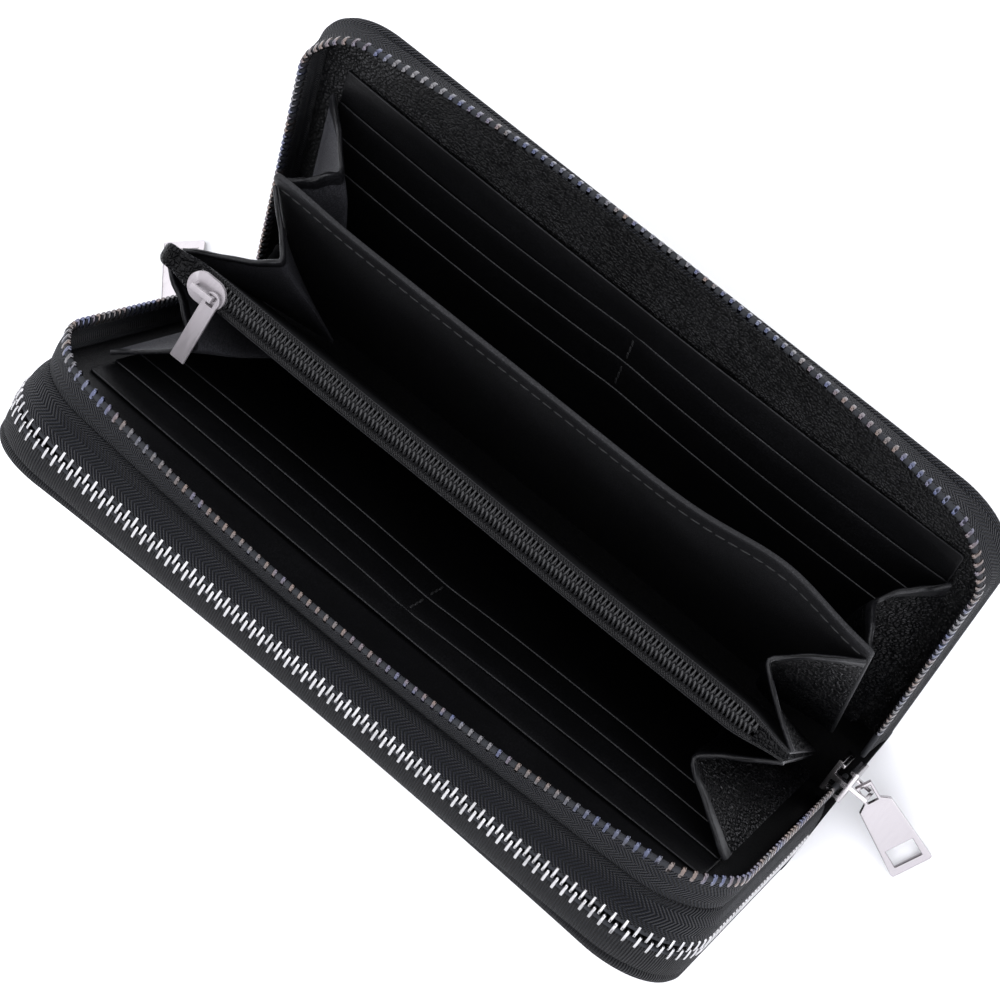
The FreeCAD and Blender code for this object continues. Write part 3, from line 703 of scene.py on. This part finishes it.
ob = plate("back_lining_leather", 94.6, 1.0, 101.9, 17.2, rim_layers(18.55, 19.2, 0.3), 3, LEATHER_BAND, disp=band, nm=170, ns=90)
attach(ob, "back_leaf"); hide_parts("back_lining")
ob = plate("front_lining_leather", 94.6, 1.0, 101.9, 17.2, rim_layers(-19.2, -18.6, 0.3), 0, LEATHER_BAND, disp=bow_front)
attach(ob, "front_cover"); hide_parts("front_lining")
ob = plate("front_pocket_leather", 88.0, 1.0, 84.0, 3.0, rim_layers(-18.6, -18.1), 0, [LEATHER_IN, EDGE], disp=bow_front, rim=1)
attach(ob, "front_cover"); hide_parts("front_inner_pocket")

# middle leaf: core and two linings
ob = plate("mid_leaf_core", 94.4, 0.0, 101.4, 16.7, rim_layers(-0.5, 0.5), 0, LEATHER_IN, disp=bow_mid)
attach(ob, "root"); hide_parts("mid_board")
ob = plate("mid_lining_back_leather", 94.6, 0.0, 101.7, 17.0, rim_layers(0.5, 1.1, 0.3), 0, LEATHER_IN, disp=lambda x, s, n: bow_mid(x, s) - band(x, s, n) * 0.5, nm=120, ns=60)
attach(ob, "root"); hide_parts("mid_lining_back")
ob = plate("mid_lining_front_leather", 94.6, 0.0, 101.7, 17.0, rim_layers(-1.1, -0.5, 0.3), 0, LEATHER_BAND, disp=bow_mid)
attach(ob, "root"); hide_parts("mid_lining_front")


# ------------------------------------------------------------------ slip pockets and card rows
def pocket(name, node, body, level, n0, n1, top, toward, bow, seed, half=88.0, split=True):
    def disp(x, s, n):
        up = np.clip(s / top, 0, 1) ** 3
        cell = np.abs(np.sin(np.pi * x / half)) if split else np.cos(0.5 * np.pi * x / half)
        return bow(x, s) + toward * (up * cell ** 0.4 * 0.85 + 0.05 * smoothnoise(x, s, seed, 26.0))

    def dip(x):
        # the mouth sags a little between the side seam and the middle stitch
        cell = np.abs(np.sin(np.pi * x / half)) if split else np.cos(0.5 * np.pi * x / half)
        return 0.9 * cell + 0.35 * np.exp(-(x / 1.6) ** 2) * (1 if split else 0)

    ob = plate(name, half, 1.0, top, 1.2, rim_layers(n0, n1, k=3), level, [LEATHER_IN, EDGE], disp=disp, rim=1, nm=110, ns=16, topf=dip)
    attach(ob, body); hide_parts(node)
    return ob


for i, top in enumerate((84.0, 73.0, 62.5, 52.0)):
    n = 1.1 + 0.5 * i
    nm_ = "mid_slip_pocket" if i == 0 else "mid_card_row_%d" % i
    pocket(nm_ + "_leather", nm_, "root", 0, n + 0.02, n + 0.5, top, 1, bow_mid, 20 + i, split=i > 0)
    n = 18.6 - 0.5 * i
    nm_ = "back_slip_pocket" if i == 0 else "back_card_row_%d" % i
    pocket(nm_ + "_leather", nm_, "back_leaf", 3, n - 0.5, n - 0.02, top, -1, bow_none, 30 + i, split=i > 0)

# centre stitch lines through the card rows
for body, level, n, sign, bow in (("root", 0, 3.12, 1, bow_mid), ("back_leaf", 3, 16.58, -1, bow_none)):
    for i, (a, b) in enumerate(((52.6, 61.6), (63.2, 72.2)), 1):
        ss = np.linspace(a, b, 20)
        nn = n - sign * 0.5 * i
        P = place(np.zeros(20), nn + bow(np.zeros(20), ss), ss, level)
        N = np.tile(np.array(plane_normal(level, sign)), (20, 1))
        stitches("card_stitch_%s_%d" % (body, i), body, P, N, gap=2.6)


# ------------------------------------------------------------------ divider
def wave_div(x, s, n=None):
    u = np.clip(s / 80.0, 0, 1.1) ** 2
    return u * (3.4 * np.exp(-((x - 60) / 17) ** 2) - 0.12 * np.exp(-((x + 30) / 34) ** 2) + 0.5 * np.exp(-((x + 78) / 10) ** 2)) + 0.05 * smoothnoise(x, s, 12, 40.0)


rl = [(1.0, 12.0), (0.45, 12.02), (0.0, 12.12), (-0.25, 12.3), (-0.35, 12.6), (-0.25, 12.92), (0.0, 13.1), (0.45, 13.18), (1.0, 13.2)]


def hem_div(x, s, n):
    """The turned edge is a little thicker than the sheet."""
    e = np.clip((s - 75.0) / 1.5, 0, 1)
    side = np.where(n < 12.6, -1, 1)
    return wave_div(x, s) + side * 0.18 * (e * e * (3 - 2 * e)) * (np.abs(n - 12.6) > 0.05)


ob = plate("divider_leather_sheet", 84.7, 0.3, 80.0, 1.6, rl, 2, LEATHER_DIV, disp=lambda x, s, n: hem_div(x + 1.3, s, n), nm=120, ns=60, xoff=1.3)
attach(ob, "divider"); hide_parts("divider_leather", "divider_board")
for sign, n in ((-1, 11.98), (1, 13.22)):
    xs = np.linspace(-82.0, 84.5, 160)
    ss = np.full(160, 74.3)
    P = place(xs, n + wave_div(xs, ss), ss, 2)
    stitches("divider_stitch_%s" % ("front" if sign < 0 else "back"), "divider", P, np.tile(np.array(plane_normal(2, sign)), (160, 1)))


# ------------------------------------------------------------------ coin pocket
def narrow(x):
    """The mouth of the coin pocket draws together at its two ends."""
    x = np.asarray(x, float)
    a = np.clip((x - 71.0) / 15.0, 0, 1)
    b = np.clip((-x - 80.0) / 9.5, 0, 1)
    return 1 - 0.62 * a * a * (3 - 2 * a) - 0.35 * b * b * (3 - 2 * b)


def coin_wave(x, s, n=None):
    return 0.15 * smoothnoise(x, s, 17, 60.0) * np.clip(s / 80, 0, 1) * np.clip((86 - np.abs(x)) / 12, 0, 1)


def sheet_slope(name, n_lo, n_hi, s_top, level, body, nodes, mats, t=0.55, half=86.0, seed=1):
    """Coin pocket wall: leans, and its top edge is turned over."""
    def disp(x, s, n):
        k = s / s_top
        hi = 7.4 + (n_hi - 7.4) * narrow(x)
        return n_lo + (hi - n_lo) * k + coin_wave(x, s)
    ob = plate(name, half + 1.8, 0.6, s_top, 1.2, rim_layers(-t / 2, t / 2, k=3), level, mats, disp=lambda x, s, n: disp(x - 1.8, s, n), rim=1, nm=110, ns=36, xoff=-1.8)
    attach(ob, body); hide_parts(*nodes)
    return ob


sheet_slope("coin_front_wall", 5.45, 4.15, 78.5, 1, "coin_pocket", ["coin_front_panel"], [LEATHER_IN, EDGE])
sheet_slope("coin_back_wall", 6.65, 10.85, 81.4, 1, "coin_pocket", ["coin_back_panel"], [LEATHER_DIV, EDGE])


def mouth(n):
    return 78.4 + (n - 3.9) * 0.4


def mouth_bar(name, n0, n1, h0, h1, x0, x1, node, mat, rows=9, seg=120, crown=0.25, uvs=True):
    """Strip lying along the sloped mouth, with rounded long edges."""
    xs = np.linspace(x0, x1, seg)
    kk = np.linspace(0, 1, rows)
    n = n0 + (n1 - n0) * kk
    lo = np.stack([n, mouth(n) + h0], -1)
    hi = np.stack([n, mouth(n) + h1 + crown * np.sin(np.pi * kk)], -1)
    hi[0] += (0.05, -0.2); hi[-1] += (-0.05, -0.2)
    L = np.concatenate([hi, lo[::-1]], 0)
    w = coin_wave(xs, 80.0)
    nn = 7.4 + (L[None, :, 0] - 7.4) * narrow(xs)[:, None]
    P = place(xs[:, None], nn + w[:, None], L[None, :, 1], 1)
    v, fcs = loft(P)
    vv = np.concatenate([kk, kk[::-1]]) * abs(n1 - n0) * 0.001
    uv = np.stack([np.repeat((xs - x0) * 0.001, len(L)), np.tile(vv, len(xs))], -1)
    ob = make(name, v, fcs, mat, 50, uv=uv)
    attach(ob, "coin_pocket")
    if node:
        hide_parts(node)
    return ob


mouth_bar("coin_tape_front_cloth", 4.3, 5.95, 0.0, 0.5, -89.2, 85.6, "coin_zip_tape_front", TAPE_C)
mouth_bar("coin_tape_back_cloth", 9.65, 11.0, 0.0, 0.5, -89.2, 85.6, "coin_zip_tape_back", TAPE_C)


def coil(name, n_in, n_out, node, phase):
    """Nylon spiral: one flattened loop a pitch, thicker where it hooks at the middle of the zip."""
    pitch = 1.16
    x0, x1 = -82.0, 78.0
    turns = int((x1 - x0) / pitch)
    k = 14
    t = np.arange(turns * k + 1) / k
    a = t * 2 * np.pi
    x = x0 + (t + phase) * pitch + 0.16 * np.sin(a)
    nmid, nh = (n_in + n_out) / 2, abs(n_out - n_in) / 2
    sgn = 1 if n_out > n_in else -1
    n = nmid + sgn * nh * np.cos(a) * -1
    h = 0.62 + 0.44 * np.sin(a)
    C = place(x, 7.4 + (n - 7.4) * narrow(x) + coin_wave(x, 80.0), mouth(n) + h, 1)
    r = 0.00030 + 0.00012 * np.clip(0.35 - np.cos(a) * -1, 0, 1.2)
    T = np.gradient(C, axis=0)
    T /= np.linalg.norm(T, axis=1, keepdims=True)
    X = np.array([1.0, 0, 0])
    B = np.cross(T, X); B /= np.maximum(np.linalg.norm(B, axis=1, keepdims=True), 1e-9)
    D = np.cross(B, T)
    q = np.linspace(0, 2 * np.pi, 7)[:-1]
    P = C[:, None] + r[:, None, None] * (np.cos(q)[None, :, None] * B[:, None] + np.sin(q)[None, :, None] * D[:, None])
    v, fcs = loft(P)
    ob = make(name, v, fcs, NYLON, 80)
    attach(ob, "coin_pocket"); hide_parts(node)
    return ob


coil("coin_coil_front_spiral", 8.0, 5.65, "coin_coil_front", 0.0)
coil("coin_coil_back_spiral", 7.6, 9.95, "coin_coil_back", 0.5)
# leather tab that closes the right end of the coin zip, narrowing to the seam
xs = np.linspace(77.6, 86.4, 16)
k = (xs - xs[0]) / (xs[-1] - xs[0])
rows = 9
P = []
for x_, k_ in zip(xs, k):
    hw = 2.3 * (1 - 0.62 * k_ ** 0.8) * math.sqrt(max(1 - max(0, (k_ - 0.86) / 0.14) ** 2 * 0.5, 0.01))
    n = np.linspace(7.8 - hw, 7.8 + hw, rows)
    edge = np.clip((hw - np.abs(n - 7.8)) / 0.5, 0, 1)
    top = mouth(n) + 0.55 + 0.75 * np.sqrt(edge) * math.sqrt(min(1, k_ * 5 + 0.08))
    lo = mouth(n) + 0.35
    L = np.concatenate([np.stack([n, top], -1), np.stack([n, lo], -1)[::-1]], 0)
    P.append(place(x_, L[:, 0], L[:, 1], 1))
v, fcs = loft(np.stack(P))
# the left end of the mouth is gathered under a longer strip that rolls over the end of the pocket
xs = np.linspace(-77.4, -91.3, 26)
P = []
for x_ in xs:
    k_ = (x_ - xs[0]) / (xs[-1] - xs[0])
    g = float(narrow(max(x_, -89.6)))
    hw = (0.2 + 0.8 * min(1.0, k_ * 6)) * 3.55 * g + 0.25 * k_
    roll = max(0.0, (k_ - 0.86) / 0.14)
    hw *= math.sqrt(max(1 - roll ** 2 * 0.55, 0.05))
    n = np.linspace(7.6 - hw, 7.6 + hw, 11)
    edge = np.clip((hw - np.abs(n - 7.6)) / 0.7, 0, 1)
    rise = 0.55 * k_ + 0.9 * math.sin(math.pi * min(1.0, max(0.0, (k_ - 0.72) / 0.28))) - 0.6 * roll ** 2
    sag = -0.55 * np.cos(np.pi * (n - 7.6) / (2 * max(hw, 0.4))) * math.sin(math.pi * min(1.0, k_ * 1.2))
    top = mouth(n) + 0.5 + rise + sag + 0.55 * np.sqrt(edge)
    lo = mouth(n) + 0.12 - 1.6 * roll
    L = np.concatenate([np.stack([n, top], -1), np.stack([n, lo], -1)[::-1]], 0)
    P.append(place(x_, L[:, 0], L[:, 1], 1))
v2, f2 = loft(np.stack(P))
off = len(v)
v = np.concatenate([np.asarray(v), np.asarray(v2)], 0)
fcs = [list(f) for f in fcs] + [[int(i) + off for i in f][::-1] for f in f2]
ob = make("coin_zip_tab_leather", v, fcs, LEATHER_GUSSET, 45)
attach(ob, "coin_pocket"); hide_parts("coin_zip_tab")

# side walls of the coin pocket: the two walls meet in a seam that folds inwards
for side, word in ((-1, "left"), (1, "right")):
    ss = np.linspace(1.0, 78.4, 30)
    P = []
    for s_ in ss:
        g = float(narrow(86.0 if side > 0 else -89.6))
        edge_x = 85.7 if side > 0 else 89.3
        a = 5.45 + (7.4 + (4.15 - 7.4) * g - 5.45) * s_ / 78.5
        b = 6.65 + (7.4 + (10.85 - 7.4) * g - 6.65) * s_ / 81.4
        k = np.linspace(0, 1, 9)
        n = a + (b - a) * k
        dep = 2.6 * np.sin(np.pi * k) * (s_ / 80) ** 0.7
        C = np.stack([n, edge_x - dep], -1)[None]
        L = ribbon_loop(C, 0.27)[0]
        P.append(place(side * L[:, 1], L[:, 0], s_ + (L[:, 0] - 3.9) * 0.4 * (s_ / 80) ** 6, 1))
    v, fcs = loft(np.stack(P))
    ob = make("coin_side_%s_leather" % word, v, fcs, LEATHER_GUSSET, 50)
    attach(ob, "coin_pocket"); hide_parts("coin_seam_" + word)


# ------------------------------------------------------------------ accordion gussets
def gusset(name, node, side, A, B, bow_a=bow_none, seed=0, dip=3.0, panel=17.5):
    """V-folded strip between two leaves. A and B are (n at the foot, n at the top, level, x)."""
    na, nb = 14, 34
    ts = np.linspace(0, 1, nb)
    P, mats = [], []
    for ti, t in enumerate(ts):
        s = 4.0 + (75.0 - 4.0) * t
        a = place(side * A[3], A[0] + (A[1] - A[0]) * t + float(bow_a(A[3], s)), s, A[2]) * 1000
        b = place(side * B[3], B[0] + (B[1] - B[0]) * t, s, B[2]) * 1000
        gap = b - a; gap[0] = 0
        half = max(np.linalg.norm(gap) / 2, 0.7)
        u = gap / (2 * half)
        up = np.cross(u, [1, 0, 0]); up /= np.linalg.norm(up)
        if up[2] < 0:
            up = -up
        depth = math.sqrt(max(panel ** 2 - half ** 2, 1.0))
        k = np.linspace(-1, 1, 2 * na + 1)
        wob = 0.9 * math.sin(5.0 * t + seed) + 0.5 * math.sin(11.0 * t + 2 * seed)
        # rounded V, panels belly out a little
        shape = 1 - np.sqrt(k * k + 0.006)
        shape = (shape - shape[0]) / (shape.max() - shape[0])
        belly = 0.9 * np.sin(np.pi * np.abs(k)) * (0.6 + 0.4 * math.sin(3.2 * t + seed))
        cx = (a[0] + b[0]) / 2 + (b[0] - a[0]) / 2 * k - side * (depth * shape + wob * np.sin(np.pi * (1 - np.abs(k)) * 0.5) * t)
        cg = k * half + np.sign(k) * belly * 0.55 * t * (1 if half > 2 else 0.3)
        drop = -dip * t ** 4 * shape ** 1.5 + t ** 6 * (0.9 * np.sin(2.5 * np.pi * k + seed) + 0.5 * np.sin(5.3 * np.pi * k + 2 * seed)) * (1 - k ** 8)
        C2 = np.stack([cg, cx], -1)[None]
        hem = 0.28 + 0.30 * np.clip((t - 0.955) / 0.02, 0, 1)
        L = ribbon_loop(C2, hem)[0]
        dd = np.concatenate([drop, drop[::-1]])
        m0 = (a + b) / 2
        Q = np.zeros((len(L), 3))
        Q[:, 0] = L[:, 1]
        Q[:, 1] = m0[1] + u[1] * L[:, 0] + up[1] * dd
        Q[:, 2] = m0[2] + u[2] * L[:, 0] + up[2] * dd
        P.append(Q)
    P = np.stack(P)
    # close the mouth edge round
    top = P[-1]
    m = len(top) // 2
    cen = (top[:m] + top[m:][::-1]) / 2
    cc = np.concatenate([cen, cen[::-1]])
    for q, lift in ((0.75, 0.28), (0.35, 0.42)):
        extra = cc + (top - cc) * q
        extra = extra + np.array([0, up[1], up[2]]) * lift
        P = np.concatenate([P, extra[None]], 0)
    P = P * 0.001
    v, fcs = loft(P)
    nfc = len(fcs)
    Bn = P.shape[1]
    fi = [0] * nfc
    for i in range(len(ts) - 3, P.shape[0] - 1):
        for j in range(Bn):
            fi[i * Bn + j] = 1
    fi[-1] = 1
    # left panels take the lighter copy of the gusset leather (painted light), right panels the darker gusset leather
    ob = make(name, v, fcs, [LEATHER_GUSSET_PAINTED_LIT if side < 0 else LEATHER_GUSSET, EDGE], 55, findex=fi)
    sref = 60.0
    t = (sref - 4) / 71
    a = place(side * A[3], A[0] + (A[1] - A[0]) * t, sref, A[2])
    b = place(side * B[3], B[0] + (B[1] - B[0]) * t, sref, B[2])
    a[0] = b[0] = 0
    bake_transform(ob)
    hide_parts(node)
    return ob


for side, word in ((-1, "left"), (1, "right")):
    w = 0 if side < 0 else 2
    c0 = 7.4 + (4.15 - 7.4) * float(narrow(86.0 if side > 0 else -89.6)) - 0.32
    c1 = 7.4 + (10.85 - 7.4) * float(narrow(86.0 if side > 0 else -89.6)) + 0.12
    pm, pc, pb = (19.0, 18.5, 16.0) if side < 0 else (20.6, 20.4, 15.2)
    xc, xd = (89.4, 83.1) if side < 0 else (85.8, 85.7)
    gusset("gusset_mid_%s_leather" % word, "gusset_mid_" + word, side, (3.5, 3.5, 0, 89.0), (4.92, c0, 1, xc), bow_none, 0.4 + w, panel=pm)
    gusset("gusset_coin_%s_leather" % word, "gusset_coin_" + word, side, (7.22, c1, 1, xc), (11.8, 11.86, 2, xd), bow_none, 1.7 + w, panel=pc)
    gusset("gusset_back_%s_leather" % word, "gusset_back_" + word, side, (13.4, 13.34, 2, xd), (16.2, 16.2, 3, 89.0), bow_none, 2.9 + w, panel=pb)
    gusset("gusset_front_%s_leather" % word, "gusset_front_" + word, side, (-1.5, -1.5, 0, 89.0), (-17.9, -17.9, 0, 89.0), bow_none, 4.1 + w, panel=14.0)


# ------------------------------------------------------------------ leather over the spine
def wrap(name, pts, start, end, nodes, half_x=97.2, t=1.1, ride_only=None):
    """pts: [(n, s, level)] along the outside of the spine, as a leather skin with rounded ends."""
    O = np.array([place(0, n, s, l) for n, s, l in pts]) * 1000
    C = O[:, 1:]
    d = np.gradient(C, axis=0); d /= np.linalg.norm(d, axis=1, keepdims=True)
    nrm = np.stack([-d[:, 1], d[:, 0]], -1)      # towards the inside
    xs = np.concatenate([[-half_x, -half_x + 0.15, -half_x + 0.5], np.linspace(-half_x + 1.2, half_x - 1.2, 90), [half_x - 0.5, half_x - 0.15, half_x]])
    P = []
    for x_ in xs:
        e = max(0.0, 1 - (half_x - abs(x_)) / 0.6)
        ins = 0.55 * (1 - math.sqrt(max(1 - e * e, 0)))
        bump = 0.06 * smoothnoise(np.full(len(C), x_), C[:, 0], 41, 15.0)
        out = C + nrm * (ins + 0.08 + bump)[:, None]
        inn = C + nrm * (t - ins)
        L = np.concatenate([out, inn[::-1]], 0)
        P.append(np.stack([np.full(len(L), x_ + SHIFT_X), L[:, 0], L[:, 1]], -1))
    P = np.stack(P) * 0.001
    v, fcs = loft(P)
    K = len(C)
    # the inside face of the skin takes the near-black leather, painted shade for the shadowed floor of the bays
    fi = [0] * len(fcs)
    for i in range(len(xs) - 1):
        for j in range(K, 2 * K - 1):
            fi[i * 2 * K + j] = 1
    ob = make(name, v, fcs, [LEATHER_OUT, LEATHER_PAINTED_SHADE], 50, findex=fi)
    if ride_only:
        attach(ob, ride_only)
    else:
        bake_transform(ob)
    if nodes:
        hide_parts(*nodes)
    return ob


def arc_pts(n_c, s_c, r, a0, a1, level, k=7):
    return [(n_c + r * math.cos(a), s_c + r * math.sin(a), level) for a in np.linspace(a0, a1, k)]


pi = math.pi
front_corner = [(-21.0, 3.0, 0), (-21.0, 2.2, 0)] + arc_pts(-18.6, 1.2, 2.4, pi, 1.5 * pi, 0, 8)
lin = lambda n0, n1, level, k: [(n, -1.2, level) for n in np.linspace(n0, n1, k)]
wrap("spine_wrap_front", front_corner + lin(-17.8, -12.0, 0, 5), vec(0, -17.0, -1.2, 0), vec(0, -21.0, 3.0, 0), [])
wrap("spine_wrap_root", lin(-12.0, -2.0, 0, 8), None, None, ["spine_leather"], ride_only="root")
wrap("spine_wrap_coin", lin(-2.0, 1.0, 0, 5) + lin(1.25, 4.4, 1, 6), vec(0, -2.0, -1.2, 0), vec(0, 4.3, -1.2, 1), ["spine_strip_coin"])
wrap("spine_wrap_divider", lin(4.4, 7.5, 1, 6) + lin(7.75, 10.6, 2, 6), vec(0, 4.5, -1.2, 1), vec(0, 10.5, -1.2, 2), ["spine_strip_divider"])
back_corner = arc_pts(18.6, 1.2, 2.4, 1.5 * pi, 2 * pi, 3, 8) + [(21.0, 2.2, 3), (21.0, 3.0, 3)]
wrap("spine_wrap_back", lin(10.6, 13.4, 2, 6) + lin(13.65, 18.0, 3, 6) + back_corner, vec(0, 10.7, -1.2, 2), vec(0, 15.5, -1.2, 3), ["spine_strip_back"])

# stitching round both covers, outside
for body, level, n, sign, bw in (("front_cover", 0, -21.0, -1, cover_front), ("back_leaf", 3, 21.0, 1, lambda x, s, n: skin(x, s + 40, n))):
    x, s, nx, ns, q = rim_path(92.6, 99.3, 14.8, 4.0, 4.0, 1.0)
    P = place(x, n + bw(x, s, None), s, level)
    stitches("cover_stitch_" + body, body, P, np.tile(np.array(plane_normal(level, sign)), (len(x), 1)), gap=3.4)


# ------------------------------------------------------------------ sliders and pulls
def bevelled(node, name, width, mat, seg=3, angle=28):
    """New piece shaped as the cast part is: every sharp edge rolled over."""
    src = bpy.data.objects[node] if node in bpy.data.objects else None
    if src is None:
        src = [o for o in bpy.data.objects if o.name.startswith(node)][0]
    bm = bmesh.new()
    bm.from_mesh(src.data)
    bmesh.ops.remove_doubles(bm, verts=bm.verts, dist=1e-6)
    bmesh.ops.dissolve_limit(bm, angle_limit=math.radians(1.0), verts=bm.verts, edges=bm.edges)
    sharp = [e for e in bm.edges if len(e.link_faces) == 2 and e.calc_face_angle(0) > math.radians(angle)]
    bmesh.ops.bevel(bm, geom=sharp, offset=width, offset_type="OFFSET", segments=seg, profile=0.55, affect="EDGES", clamp_overlap=True)
    bmesh.ops.remove_doubles(bm, verts=bm.verts, dist=1e-7)
    bmesh.ops.triangulate(bm, faces=[f for f in bm.faces if len(f.verts) > 4])
    me = bpy.data.meshes.new(name)
    bmesh.ops.recalc_face_normals(bm, faces=bm.faces)
    for f in bm.faces:
        f.smooth = True
    for e in bm.edges:
        e.smooth = not (len(e.link_faces) == 2 and e.calc_face_angle(0) > math.radians(32))
    bm.to_mesh(me)
    bm.free()
    me.materials.append(mat)
    ob = bpy.data.objects.new(name, me)
    bpy.context.scene.collection.objects.link(ob)
    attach(ob, node)
    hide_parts(node)
    return ob


for node, w in (("slider_a", 0.00028), ("slider_b", 0.00028), ("pull_a", 0.00030), ("pull_b", 0.00030), ("coin_slider", 0.00018), ("coin_pull", 0.00018)):
    bevelled(node, node + "_cast", w, SATIN if node.startswith("coin") else NICKEL)

# ------------------------------------------------------------------ floor, light, camera
me = bpy.data.meshes.new("floor")
me.from_pydata([(-3, -3, -0.00005), (3, -3, -0.00005), (3, 3, -0.00005), (-3, 3, -0.00005)], [], [(0, 1, 2, 3)])
fm, ft, fb = new_mat("floor_paper", (0.93, 0.93, 0.94), 0.6)
fb.inputs["Specular IOR Level"].default_value = 0.2
me.materials.append(fm)
floor = bpy.data.objects.new("floor", me)
bpy.context.scene.collection.objects.link(floor)

world = bpy.data.worlds.new("studio")
world.use_nodes = True
wt = world.node_tree
wc = nd(wt, "ShaderNodeTexCoord").outputs["Generated"]
ws = nd(wt, "ShaderNodeSeparateXYZ")
wt.links.new(wc, ws.inputs[0])
mixed = math_node(wt, "ADD", ws.outputs[2], math_node(wt, "MULTIPLY", ws.outputs[0], -0.25))
wt.links.new(ramp(wt, mixed, [(0.0, (0.30, 0.30, 0.31)), (0.35, (0.16, 0.16, 0.17)), (0.62, (0.75, 0.75, 0.76)), (1.0, (1.0, 1.0, 1.0))]), wt.nodes["Background"].inputs[0])
wt.nodes["Background"].inputs[1].default_value = 0.62
bpy.context.scene.world = world


def area(name, loc, target, size, power, size_y=None):
    l = bpy.data.lights.new(name, "AREA")
    l.shape = "RECTANGLE"
    l.size = size
    l.size_y = size_y or size
    l.energy = power
    l.color = (0.93, 0.94, 1.0)
    o = bpy.data.objects.new(name, l)
    o.location = loc
    d = Vector(target) - Vector(loc)
    o.rotation_euler = d.to_track_quat("-Z", "Y").to_euler()
    bpy.context.scene.collection.objects.link(o)
    return o


area("key", (-0.5, 0.75, 0.95), (0, 0, 0.03), 2.0, 26)
area("fill", (0.95, -0.2, 0.85), (0, 0, 0.03), 2.0, 26)
area("front", (-0.45, -0.9, 0.7), (0, 0, 0.04), 1.8, 16)

cam = bpy.data.cameras.new("camera")
cam.lens = 109.55
cam.sensor_width = 36
cam.clip_start = 0.01
co = bpy.data.objects.new("camera", cam)
right = Vector((0.76332957, 0.6164909, -0.19304647))
up = Vector((-0.62085403, 0.78266282, 0.04448805))
back = Vector((0.17851677, 0.08589464, 0.98018053))
m = Matrix((right, up, back)).transposed().to_4x4()
m.translation = Vector((0.119697, 0.054421, 0.732759))
co.matrix_world = m
bpy.context.scene.collection.objects.link(co)
bpy.context.scene.camera = co
bpy.context.scene.view_settings.view_transform = "Standard"
